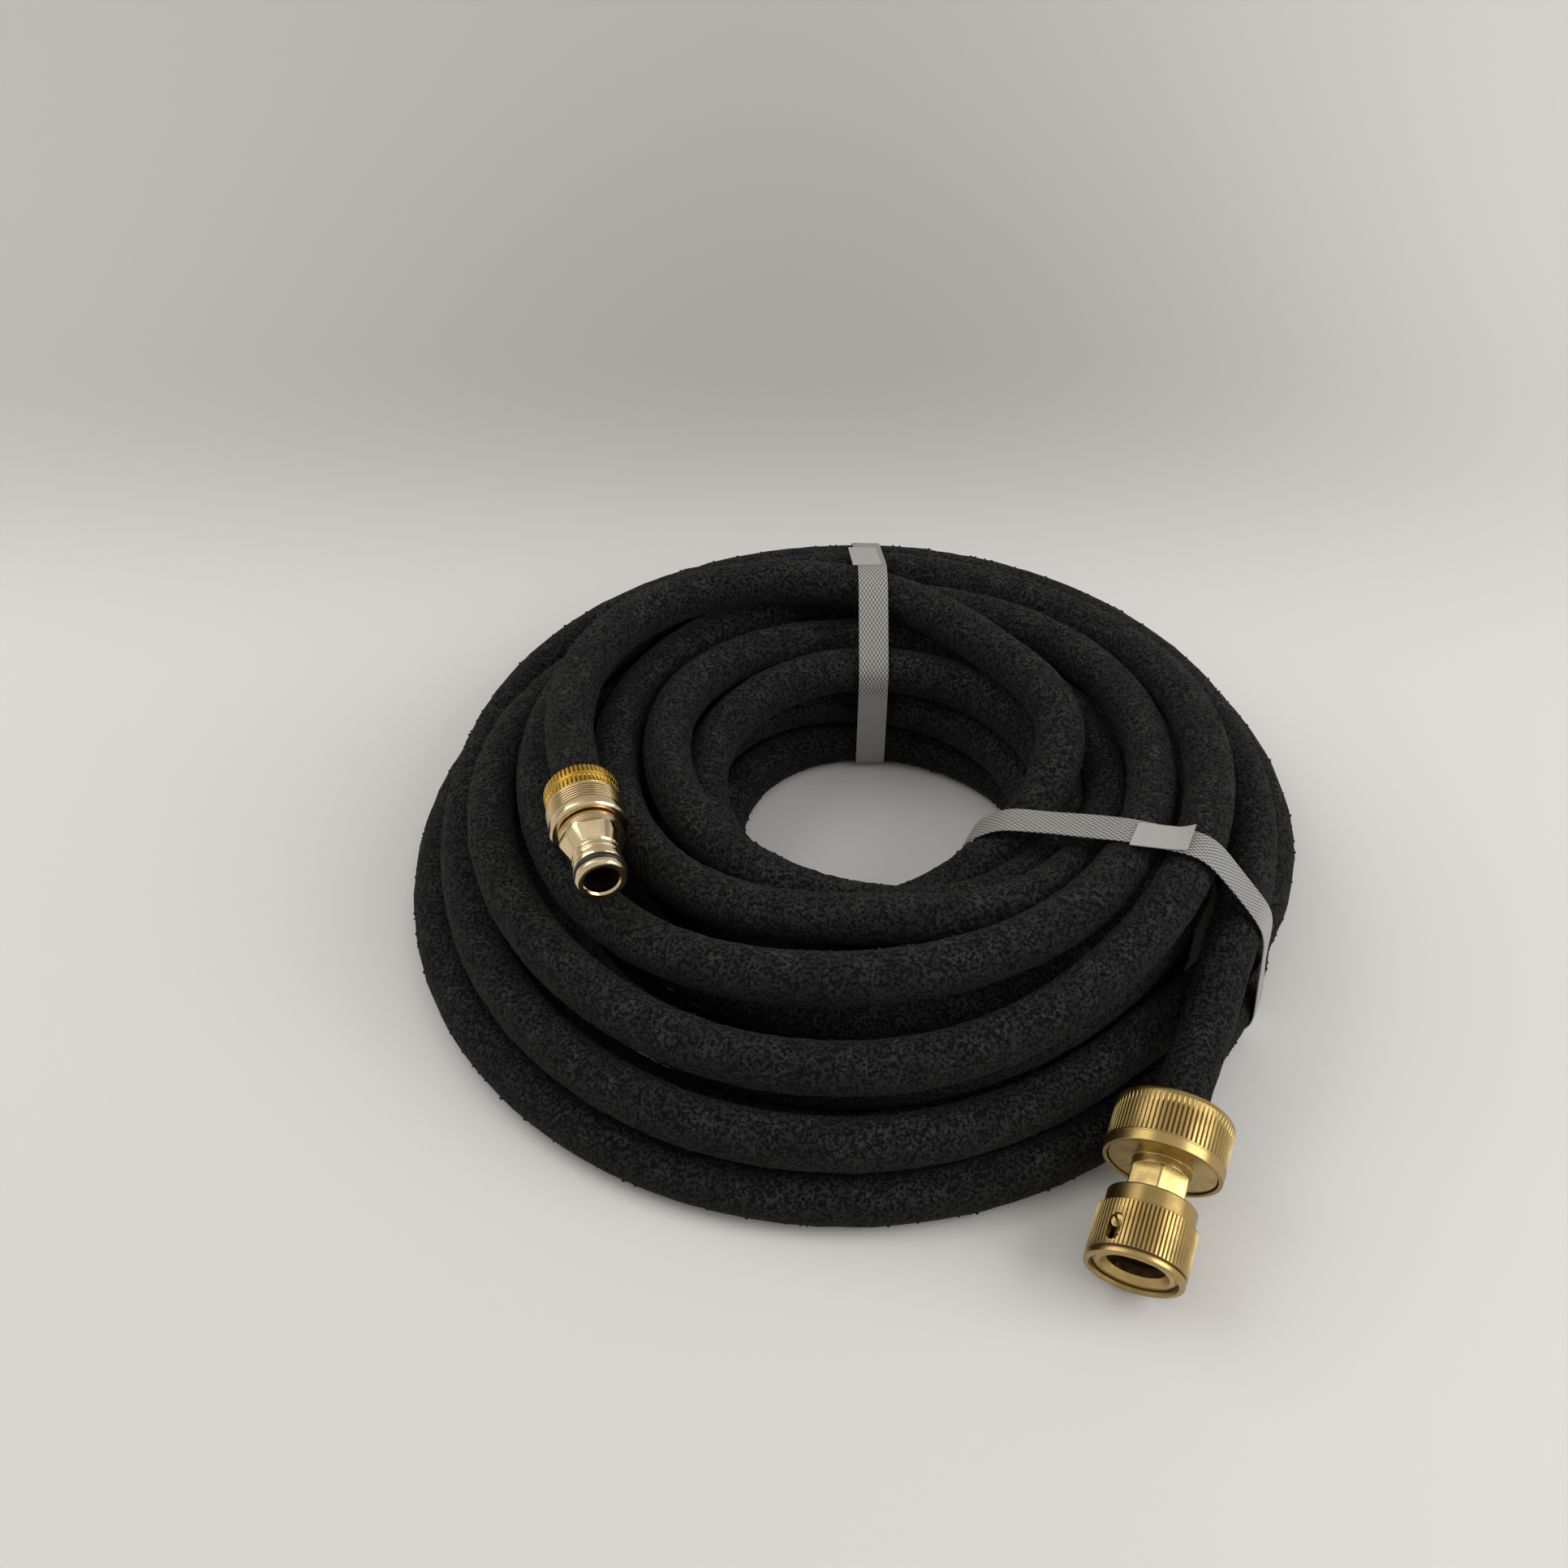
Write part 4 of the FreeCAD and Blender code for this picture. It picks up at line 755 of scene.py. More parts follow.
def turned_mesh(name: str, corners: Sequence[Corner], segments: int, steps: int) -> Any:
    """Turns a closed outline about Z.

    Args:
        name: The mesh's name.
        corners: The outline, in millimetres.
        segments: How many faces lie round the axis.
        steps: How many runs a rounded corner has.

    Returns:
        The mesh, in metres.
    """
    outline = rounded_outline(corners, steps)
    count = len(outline)
    points = []
    faces = []
    for index in range(segments):
        angle = TAU * index / segments
        cosine, sine = math.cos(angle) * MM, math.sin(angle) * MM
        points += [(x * cosine, x * sine, y * MM) for x, y in outline]
        onward = (index + 1) % segments
        for corner in range(count):
            after = (corner + 1) % count
            faces.append((index * count + corner, onward * count + corner,
                          onward * count + after, index * count + after))
    return mesh_of(name, points, faces)


def turned(name: str, corners: Sequence[Corner], segments: int, steps: int = 3) -> Any:
    """An object on its own axis, turned from a closed outline."""
    return new_object(name, turned_mesh(name, corners, segments, steps))


def prism_mesh(outline: Sequence[Flat], low: float, high: float, placing: Matrix) -> Any:
    """A straight prism over a closed flat outline.

    Args:
        outline: The outline, in millimetres.
        low: Where it starts along its own Z, in millimetres.
        high: Where it ends.
        placing: Where it goes.

    Returns:
        The mesh, in metres.
    """
    count = len(outline)
    points = [placing @ Vector((x * MM, y * MM, z * MM)) for z in (low, high) for x, y in outline]
    caps = [tuple(range(count)), tuple(range(count, 2 * count))]
    return mesh_of("prism", points, caps + ring_faces(0, count, count))


def joined(name: str, meshes: Sequence[Any]) -> Any:
    """Puts several meshes into one.

    Args:
        name: The new mesh's name.
        meshes: What goes in.

    Returns:
        The mesh.
    """
    whole = bpy.data.meshes.new(name)
    with edited(whole) as work:
        for mesh in meshes:
            work.from_mesh(mesh)
    return whole


def arc_points(middle: Flat, radius: float, start: float, turn: float, steps: int) -> List[Flat]:
    """The points of an arc from start, and as many more as its steps."""
    return [(middle[0] + radius * math.cos(start + turn * k / steps),
             middle[1] + radius * math.sin(start + turn * k / steps)) for k in range(steps + 1)]


def shade_hollows(thing: Any, spans: Sequence[Tuple[float, float, float, float]]) -> None:
    """Marks the hollows of a turned piece, where its finish paints shade.

    Args:
        thing: The object, on its own axis.
        spans: Low and high along the axis, then the least and the greatest radius, in
            millimetres.
    """
    marks = marks_on(thing.data, GROOVE_MARK)
    for index, item in enumerate(thing.data.vertices):
        radius = math.hypot(item.co.x, item.co.y) / MM
        height = item.co.z / MM
        if any(low <= height <= high and inner <= radius <= outer
               for low, high, inner, outer in spans):
            marks[index].value = 1.0


def settled(thing: Any, finish: Any, degrees: float, body: str,
            node: Optional[str] = None) -> Any:
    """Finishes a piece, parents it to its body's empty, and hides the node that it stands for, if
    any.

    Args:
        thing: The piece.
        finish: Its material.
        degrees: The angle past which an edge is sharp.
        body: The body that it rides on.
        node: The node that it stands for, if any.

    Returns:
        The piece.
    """
    mesh = thing.data
    mesh.materials.clear()
    mesh.materials.append(finish)
    mesh.shade_smooth()
    mesh.set_sharp_from_angle(angle=math.radians(degrees))
    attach(thing, body)
    if node:
        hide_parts(node)
    log.info("%s: %d faces", thing.name, len(mesh.polygons))
    return thing


def dressed_node(node: str, body: str, finish: Any, degrees: float = 30.0) -> Any:
    """A welded, smoothly shaded copy of a small CAD node, with its finish.

    Args:
        node: The node's name.
        body: The body that it rides on.
        finish: The material.
        degrees: The angle past which an edge is sharp.

    Returns:
        The piece.
    """
    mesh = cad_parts[node].data.copy()
    with edited(mesh) as work:
        bmesh.ops.remove_doubles(work, verts=work.verts, dist=WELD)
    mesh.polygons.foreach_set("material_index", [0] * len(mesh.polygons))
    return settled(new_object(node + "_finished", mesh), finish, degrees, body, node)


# The route of the hose

class Side(Enum):
    """Which end of the hose a connector is on."""

    SOCKET = "socket"
    PLUG = "plug"


@dataclass(frozen=True)
class Lie:
    """Where a connector lies: its mouth, and the way from the mouth to the hose."""

    mouth: Place
    heading: float
    tilt: float

    def matrix(self) -> Matrix:
        """The placing of a piece made on its own axis, with its mouth at the origin.

        Returns:
            The matrix.
        """
        turn = Matrix.Rotation(math.radians(self.heading), 4, "Z")
        lean = Matrix.Rotation(math.radians(90.0 - self.tilt), 4, "Y")
        return Matrix.Translation(self.mouth) @ turn @ lean

    def along(self, distance: float) -> Vector:
        """The point of the axis at a distance from the mouth, in metres."""
        return self.matrix() @ Vector((0.0, 0.0, distance))

    def way(self) -> Vector:
        """The direction from the mouth to the hose."""
        return (self.along(1.0) - self.along(0.0)).normalized()


COIL_CENTRE = Vector((-0.003907, 0.010536, 0.0))
LIES = {
    Side.SOCKET: Lie((0.070993, -0.155764, 0.0155), 68.66, 13.36),
    Side.PLUG: Lie((-0.075707, -0.059464, 0.0683), 104.2, -0.7),
}


@dataclass
class HoseRoute:
    """The middle line of the hose: stations in metres, and coil turns worked out from them."""

    diameter: float = 0.016
    floor_radius: float = 0.137
    floor_pitch: float = 0.0226
    floor_height: float = 0.0075
    second_radius: float = 0.056
    second_pitch: float = 0.0195
    second_height: float = 0.0244
    second_rise: float = 0.0027
    crown_from: float = 0.108
    crown_over: float = 0.036
    eye_drift: Flat = (0.011, 0.003)
    eye_radius: float = 0.058
    points_for_turn: int = 28
    lean: float = 0.0047
    lean_at: float = 0.2
    lean_reach: float = 0.14
    socket_stands: Tuple[float, ...] = (0.0363, 0.043, 0.050)
    socket_leaves: float = 0.058
    plug_stands: Tuple[float, ...] = (0.052, 0.044, 0.034, 0.0245)
    first_turns: Tuple[Station, ...] = (
        (-1.865, 0.1405, 0.0340), (-1.845, 0.1355, 0.0400), (-1.8, 0.1330, 0.0420),
        (-1.75, 0.1330, 0.0415), (-1.625, 0.1335, 0.0390), (-1.5, 0.1325, 0.0355),
        (-1.375, 0.1335, 0.0295), (-1.25, 0.1260, 0.0244), (-1.0, 0.1305, 0.0244),
        (-0.917, 0.1260, 0.0218), (-0.875, 0.1255, 0.0216), (-0.83, 0.1340, 0.0236),
        (-0.8, 0.1388, 0.0246), (-0.75, 0.1435, 0.0250), (-0.5, 0.1420, 0.0180),
        (-0.25, 0.1370, 0.0075))
    first_climb: Tuple[Station, ...] = (
        (4.0, 0.0490, 0.0100), (4.125, 0.0575, 0.0200), (4.25, 0.0660, 0.0235))
    top_turns: Tuple[Station, ...] = (
        (7.125, 0.1115, 0.0310), (7.25, 0.1176, 0.0300), (7.375, 0.1195, 0.0270),
        (7.5, 0.1180, 0.0260), (7.625, 0.1165, 0.0315), (7.75, 0.1150, 0.0410),
        (8.0, 0.1170, 0.0415), (8.0625, 0.1170, 0.0450), (8.125, 0.1168, 0.0545),
        (8.1875, 0.1165, 0.0610), (8.25, 0.1160, 0.0610), (8.375, 0.1155, 0.0497),
        (8.5, 0.1150, 0.0445), (8.75, 0.0985, 0.0492), (8.875, 0.0975, 0.0492),
        (9.0, 0.0970, 0.0570), (9.125, 0.0986, 0.0584), (9.25, 0.0990, 0.0570),
        (9.5, 0.0975, 0.0430), (9.75, 0.0745, 0.0485), (9.875, 0.0735, 0.0510),
        (9.9375, 0.0737, 0.0540), (10.0, 0.0740, 0.0570), (10.125, 0.0830, 0.0510),
        (10.25, 0.0865, 0.0443), (10.375, 0.0835, 0.0435), (10.5, 0.0775, 0.0413),
        (10.5625, 0.0732, 0.0439), (10.625, 0.0670, 0.0480), (10.75, 0.0570, 0.0520),
        (10.9, 0.0548, 0.0496), (11.0, 0.0575, 0.0450), (11.125, 0.0700, 0.0425),
        (11.1875, 0.0730, 0.0415), (11.25, 0.0720, 0.0415), (11.5, 0.0600, 0.0413),
        (11.5625, 0.0554, 0.0407), (11.625, 0.0510, 0.0402), (11.75, 0.0455, 0.0382),
        (11.875, 0.0450, 0.0350), (11.9375, 0.0475, 0.0317), (12.0, 0.0505, 0.0292),
        (12.0625, 0.0515, 0.0330), (12.125, 0.0555, 0.0395), (12.1875, 0.0635, 0.0505),
        (12.25, 0.0705, 0.0598), (12.375, 0.0725, 0.0590), (12.5, 0.0870, 0.0595),
        (12.625, 0.0935, 0.0635))

    def _drifted(self, turn: float, radius: float) -> float:
        """A spiral's radius with the drift of the coil's eye.

        Args:
            turn: The turn.
            radius: The spiral's own radius there.

        Returns:
            The drifted radius.
        """
        angle = TAU * (turn - QUARTER)
        depth = (self.floor_radius - radius) / (self.floor_radius - self.eye_radius)
        shift = self.eye_drift[0] * math.cos(angle) + self.eye_drift[1] * math.sin(angle)
        return radius + depth * shift

    def _floor_turns(self) -> List[Station]:
        """The first layer, spiralling in on the floor, its outermost turn pushed out a little.

        Returns:
            Its stations.
        """
        turns = []
        for turn in sorted([k / 4 for k in range(16)] + [0.125, 0.1875, 0.3125, 0.375]):
            radius = self._drifted(turn, self.floor_radius - self.floor_pitch * turn)
            near = min(1.0, abs(turn - self.lean_at) / self.lean_reach)
            radius += self.lean * (0.5 + 0.5 * math.cos(math.pi * near))
            turns.append((turn, radius, self.floor_height))
        return turns

    def _second_turns(self) -> List[Station]:
        """The second layer, spiralling out on the first.

        Returns:
            Its stations.
        """
        turns = []
        for k in range(1, 12):
            turn = 4.25 + k / 4
            radius = self.second_radius + self.second_pitch * k / 4
            backness = 0.5 + 0.5 * math.sin(TAU * (turn - QUARTER))
            share = (self.crown_from - radius) / self.crown_over
            crown = math.sin(math.pi * min(max(share, 0.0), 1.0))
            rise = self.second_rise * (1 - backness ** 2) * crown
            turns.append((turn, self._drifted(turn, radius), self.second_height + rise))
        return turns

    @staticmethod
    def _station_of(place: Vector, near: float) -> Station:
        """The station of a place, with its turn nearest to the one given.

        Args:
            place: The place.
            near: The turn that the station's is nearest to.

        Returns:
            The station.
        """
        flat = place - COIL_CENTRE
        turn = math.atan2(flat.y, flat.x) / TAU + QUARTER
        return (turn + round(near - turn), math.hypot(flat.x, flat.y), flat.z)

    @staticmethod
    def _slopes_of(station: Station, way: Vector) -> Flat:
        """How radius and height change over a turn, for a direction at a station.

        Args:
            station: Where the hose is.
            way: The direction that it has there.

        Returns:
            The change of the radius, and of the height.
        """
        angle = TAU * (station[0] - QUARTER)
        outward = Vector((math.cos(angle), math.sin(angle), 0.0))
        onward = Vector((-math.sin(angle), math.cos(angle), 0.0))
        pace = TAU * station[1] / way.dot(onward)
        return way.dot(outward) * pace, way.z * pace

    def _control_points(self) -> List[Vector]:
        """The points that the hose's line is drawn by, from its socket end to its plug end.

        Returns:
            The points, with each coil turn's worked out from its stations.
        """
        socket, plug = LIES[Side.SOCKET], LIES[Side.PLUG]
        middle = [*self.first_turns, *self._floor_turns(), *self.first_climb,
                  *self._second_turns(), *self.top_turns]
        first = self._station_of(socket.along(self.socket_leaves), middle[0][0])
        last = self._station_of(plug.along(self.plug_stands[0]), middle[-1][0])
        line = [first] + middle + [last]
        slopes = [self._slopes_of(first, socket.way())]
        for before, here, after in zip(line, line[1:], line[2:]):
            step_in, step_out = here[0] - before[0], after[0] - here[0]
            slopes.append(tuple(
                (step_out * (here[k] - before[k]) / step_in
                 + step_in * (after[k] - here[k]) / step_out) / (step_in + step_out)
                for k in (1, 2)))
        slopes.append(self._slopes_of(last, -plug.way()))
        points = [socket.along(d) for d in self.socket_stands]
        for start, end, leave, arrive in zip(line, line[1:], slopes, slopes[1:]):
            points += self._turn_points(start, end, leave, arrive)
        return points + [plug.along(d) for d in self.plug_stands]

    def _turn_points(self, start: Station, end: Station, leave: Flat,
                     arrive: Flat) -> List[Vector]:
        """The control points of the coil from one station up to the next.

        Args:
            start: The first station.
            end: The next one, whose own point is left out.
            leave: The slopes at the first.
            arrive: The slopes at the next.

        Returns:
            The points.
        """
        span = end[0] - start[0]
        count = max(1, math.ceil(span * self.points_for_turn - 0.01))
        widen = 1.0 / math.cos(math.pi * span / count)
        points = []
        for step in range(count):
            share = step / count
            ease = 3 * share ** 2 - 2 * share ** 3
            push = share ** 3 - 2 * share ** 2 + share
            pull = share ** 3 - share ** 2
            radius, height = (
                start[k] + (end[k] - start[k]) * ease + push * leave[k - 1] * span
                + pull * arrive[k - 1] * span for k in (1, 2))
            angle = TAU * (start[0] + span * share - QUARTER)
            reach = radius * widen
            points.append(COIL_CENTRE + Vector((reach * math.cos(angle), reach * math.sin(angle),
                                                height)))
        return points

    def line(self) -> List[Vector]:
        """The middle line as Blender draws it from the control points.

        Returns:
            Points along the smooth line.
        """
        curve = bpy.data.curves.new("hose_route", "CURVE")
        curve.dimensions = "3D"
        curve.resolution_u = 6
        spline = curve.splines.new("NURBS")
        points = self._control_points()
        spline.points.add(len(points) - 1)
        for item, place in zip(spline.points, points):
            item.co = (*place, 1.0)
        spline.order_u = 3
        spline.use_endpoint_u = True
        drawn = new_object("hose_route", curve)
        mesh = fresh_mesh(drawn)
        path = [vertex.co.copy() for vertex in mesh.vertices]
        bpy.data.objects.remove(drawn)
        bpy.data.meshes.remove(mesh)
        return path


# The bands and the hose

def softened(path: List[Vector], times: int) -> List[Vector]:
    """A closed path with its corners eased.

    Args:
        path: The path.
        times: How often it is eased.

    Returns:
        The eased path.
    """
    for _ in range(times):
        path = [(path[k - 1] + path[k] * 2 + path[(k + 1) % len(path)]) / 4
                for k in range(len(path))]
    return path


@dataclass
class Strap:
    """One band of woven tape, drawn tight round the bundle and welded to itself."""

    name: str
    node: str
    place: Flat
    heading: float
    tab_from: float
    tab_length: float
    tab_shift: float
    tab_skew: float
    lifted: float
    smooth_from: float
    smooth_to: float
    bulge: float = 0.0
    bulge_middle: float = 0.0
    bulge_reach: float = 0.0
    width: float = 0.0103
    thickness: float = 0.00055
    clearance: float = 0.00045
    across: int = 8
    step: float = 0.0011
    smooth_ease: float = 0.012
    smooth_share: float = 0.92
    hem: float = 0.003
    hem_woven: float = 0.7
    hem_least: float = 0.1
    spokes: int = 36
    margin: float = 0.0006
    loop_easing: int = 10
    bulge_easing: int = 8
    edge_thinning: float = 0.45
    ripple: float = 0.00012
    lap: float = 1.06
    curl_share: float = 0.28
    curl_gain: float = 6.0
    curl_fade: float = 0.75

    def matrix(self) -> Matrix:
        """The plane of the band: its X along the floor outwards, its Y up.

        Returns:
            The matrix.
        """
        centre = COIL_CENTRE + Vector((*self.place, 0.0))
        turn = Matrix.Rotation(math.radians(self.heading), 4, "Z")
        return Matrix.Translation(centre) @ turn @ Matrix.Rotation(math.pi / 2, 4, "X")

    def _held_places(self, line: Sequence[Vector], radius: float) -> List[Flat]:
        """Where the hose's surface lies within the band's width, in its plane.

        Args:
            line: The hose's middle line.
            radius: The hose's radius.

        Returns:
            Places in the band's plane.
        """
        back = self.matrix().inverted()
        places = []
        for here, there in zip(line, line[1:]):
            local = back @ here
            if abs(local.z) > self.width / 2 + radius or abs(local.x) > BAND_REACH:
                continue
            way = (there - here).normalized()
            side = way.cross(UP).normalized()
            above = side.cross(way)
            for step in range(self.spokes):
                angle = TAU * step / self.spokes
                spoke = side * (radius * math.cos(angle)) + above * (radius * math.sin(angle))
                spot = back @ (here + spoke)
                if abs(spot.z) <= self.width / 2 + self.margin:
                    places.append((spot.x, spot.y))
        return places

    @staticmethod
    def _hull(places: Sequence[Flat]) -> List[Vector]:
        """The convex outline of flat places, anticlockwise.

        Args:
            places: The places.

        Returns:
            Its corners.
        """
        ordered = sorted(set(places))
        outline: List[Flat] = []
        for sequence in (ordered, ordered[::-1]):
            chain: List[Flat] = []
            for x, y in sequence:
                while len(chain) > 1:
                    (ax, ay), (bx, by) = chain[-2:]
                    if (bx - ax) * (y - ay) - (by - ay) * (x - ax) > 0:
                        break
                    chain.pop()
                chain.append((x, y))
            outline += chain[:-1]
        return [Vector(place) for place in outline]

    def _loop(self, line: Sequence[Vector], radius: float) -> List[Vector]:
        """The band's middle line in its plane, in even steps, starting on the floor.

        Args:
            line: The hose's middle line.
            radius: The hose's radius.

        Returns:
            Flat points, anticlockwise.
        """
        hull = self._hull(self._held_places(line, radius))
        apart = self.clearance + self.thickness / 2
        grown = []
        for index, here in enumerate(hull):
            before = (here - hull[index - 1]).normalized()
            after = (hull[(index + 1) % len(hull)] - here).normalized()
            out = Vector((before.y + after.y, -before.x - after.x)).normalized()
            grown.append(here + out * apart)
        even = softened(self._even(grown), self.loop_easing)
        if self.bulge:
            even = self._bulged(even)
        return [Vector((p.x, max(p.y, self.thickness / 2))) for p in even]

    def _bulged(self, path: List[Vector]) -> List[Vector]:
        """Lets the stiff tape stand off the turns where it bends round the bundle.

        Args:
            path: The band's middle line.

        Returns:
            The line with its bulge.
        """
        walked = 0.0
        eased = []
        for index, here in enumerate(path):
            if index:
                walked += (here - path[index - 1]).length
            way = (path[(index + 1) % len(path)] - path[index - 1]).normalized()
            share = min(1.0, abs(walked - self.bulge_middle) / self.bulge_reach)
            out = self.bulge * math.cos(math.pi / 2 * share)
            eased.append(here + Vector((way.y, -way.x)) * out)
        return softened(eased, self.bulge_easing)

    def _even(self, outline: Sequence[Vector]) -> List[Vector]:
        """Points in even steps round a closed outline.

        Args:
            outline: Its corners.

        Returns:
            The points.
        """
        closed = list(outline) + [outline[0]]
        lengths = [(b - a).length for a, b in zip(closed, closed[1:])]
        whole = sum(lengths)
        count = int(whole / self.step)
        points = []
        index, walked = 0, 0.0
        for k in range(count):
            goal = whole * k / count
            while walked + lengths[index] < goal:
                walked += lengths[index]
                index += 1
            points.append(closed[index].lerp(closed[index + 1], (goal - walked) / lengths[index]))
        return points

    def _strip(self, path: Sequence[Vector], closed: bool, shift: Sequence[float],
               raise_by: Sequence[Sequence[float]], start: float) -> Tuple[List, List, List]:
        """Points and faces of one stretch of tape, with their place on the tape.

        Args:
            path: Its middle line, in the band's plane.
            closed: Whether it runs round to its start.
            shift: How far each step of it lies to the side.
            raise_by: How far each point of it stands off the line.
            start: Its first step's place along the tape.

        Returns:
            Its points, its faces, and each point's place on the tape.
        """
        count = len(path)
        columns = self.across + 1
        half = self.thickness / 2
        points: List[Vector] = []
        marks: List[Flat] = []
        walked = start
        for index, here in enumerate(path):
            before = path[index - 1] if (index or closed) else here
            after = path[(index + 1) % count] if (index < count - 1 or closed) else here
            way = (after - before).normalized()
            out = Vector((way.y, -way.x))
            if index:
                walked += (here - path[index - 1]).length
            for face in (half, -half):
                for column in range(columns):
                    share = column / self.across - 0.5
                    lift = face * (1.0 - self.edge_thinning * (2 * abs(share)) ** 6)
                    lift += raise_by[index][column]
                    spot = here + out * lift
                    points.append(Vector((spot.x, spot.y, share * self.width + shift[index])))
                    marks.append((walked, share * self.width))
        faces = []
        ring = 2 * columns
        for index in range(count if closed else count - 1):
            a, b = index * ring, ((index + 1) % count) * ring
            for k in range(columns - 1):
                faces.append((a + k, a + k + 1, b + k + 1, b + k))
                faces.append((a + columns + k, b + columns + k, b + columns + k + 1,
                              a + columns + k + 1))
            for k in (0, columns - 1):
                faces.append((a + k, b + k, b + columns + k, a + columns + k))
        if not closed:
            faces += [(a + k, a + k + 1, a + columns + k + 1, a + columns + k)
                      for a in (0, (count - 1) * ring) for k in range(columns - 1)]
        return points, faces, marks

    def build(self, line: Sequence[Vector], radius: float, finish: Any) -> Any:
        """Args:
            line: The hose's middle line.
            radius: The hose's radius.
            finish: The tape's material.

        Returns:
            The band.
        """
        path = self._loop(line, radius)
        length = sum((path[k] - path[k - 1]).length for k in range(len(path)))
        step = length / len(path)
        wavy = [[self.ripple * math.sin(k * 0.21 + c * 0.5) for c in range(self.across + 1)]
                for k in range(len(path))]
        points, faces, marks = self._strip(path, True, [0.0] * len(path), wavy, 0.0)
        first = int(self.tab_from / step)
        count = int(self.tab_length / step)
        tab, shift, raised = [], [], []
        for k in range(count + 1):
            share = k / count
            tab.append(path[(first + k) % len(path)])
            shift.append(self.tab_shift + self.tab_skew * (share - 0.5))
            raised.append([
                self.thickness * self.lap
                + self.lifted * max(0.0, self.curl_share - share) ** 1.5 * self.curl_gain
                * (1.0 - self.curl_fade * c / self.across) for c in range(self.across + 1)])
        more, tab_faces, tab_marks = self._strip(tab, False, shift, raised, self.tab_from)
        offset = len(points)
        faces += [tuple(corner + offset for corner in item) for item in tab_faces]
        placing = self.matrix()
        mesh = mesh_of(self.name, [placing @ p for p in points + more], faces)
        self._mark(mesh, marks + tab_marks, offset, step * len(path))
        band = settled(new_object(self.name, mesh), finish, 50.0, "hose",
                       self.node)
        log.info("%s: %.1f mm round", self.name, length / MM)
        return band

    def _mark(self, mesh: Any, marks: Sequence[Flat], tab_start: int, whole: float) -> None:
        """Writes the tape's own map, and how woven or welded smooth each point is.

        Args:
            mesh: The band's mesh.
            marks: Each point's place on the tape.
            tab_start: The number of the welded end's first point.
            whole: The length round the band.
        """
        layer = mesh.uv_layers.new(name="tape")
        for item in mesh.polygons:
            spots = [marks[mesh.loops[k].vertex_index][0] for k in item.loop_indices]
            wraps = max(spots) - min(spots) > whole / 2
            for k in item.loop_indices:
                along, across = marks[mesh.loops[k].vertex_index]
                if wraps and along < whole / 2:
                    along += whole
                layer.data[k].uv = (along, across)
        woven = []
        for index, (along, _) in enumerate(marks):
            if index >= tab_start:
                near_end = self.tab_from + self.tab_length - along
                woven.append(self.hem_woven * min(1.0, max(self.hem_least, near_end / self.hem)))
            else:
                into = min(1.0, max(0.0, (along - self.smooth_from) / self.smooth_ease + 1))
                out = min(1.0, max(0.0, (self.smooth_to - along) / self.smooth_ease + 1))
                woven.append(1.0 - self.smooth_share * min(into, out))
        marks_on(mesh, "woven").foreach_set("value", woven)
        marks_on(mesh, "fused").foreach_set(
            "value", [float(index >= tab_start) for index in range(len(marks))])


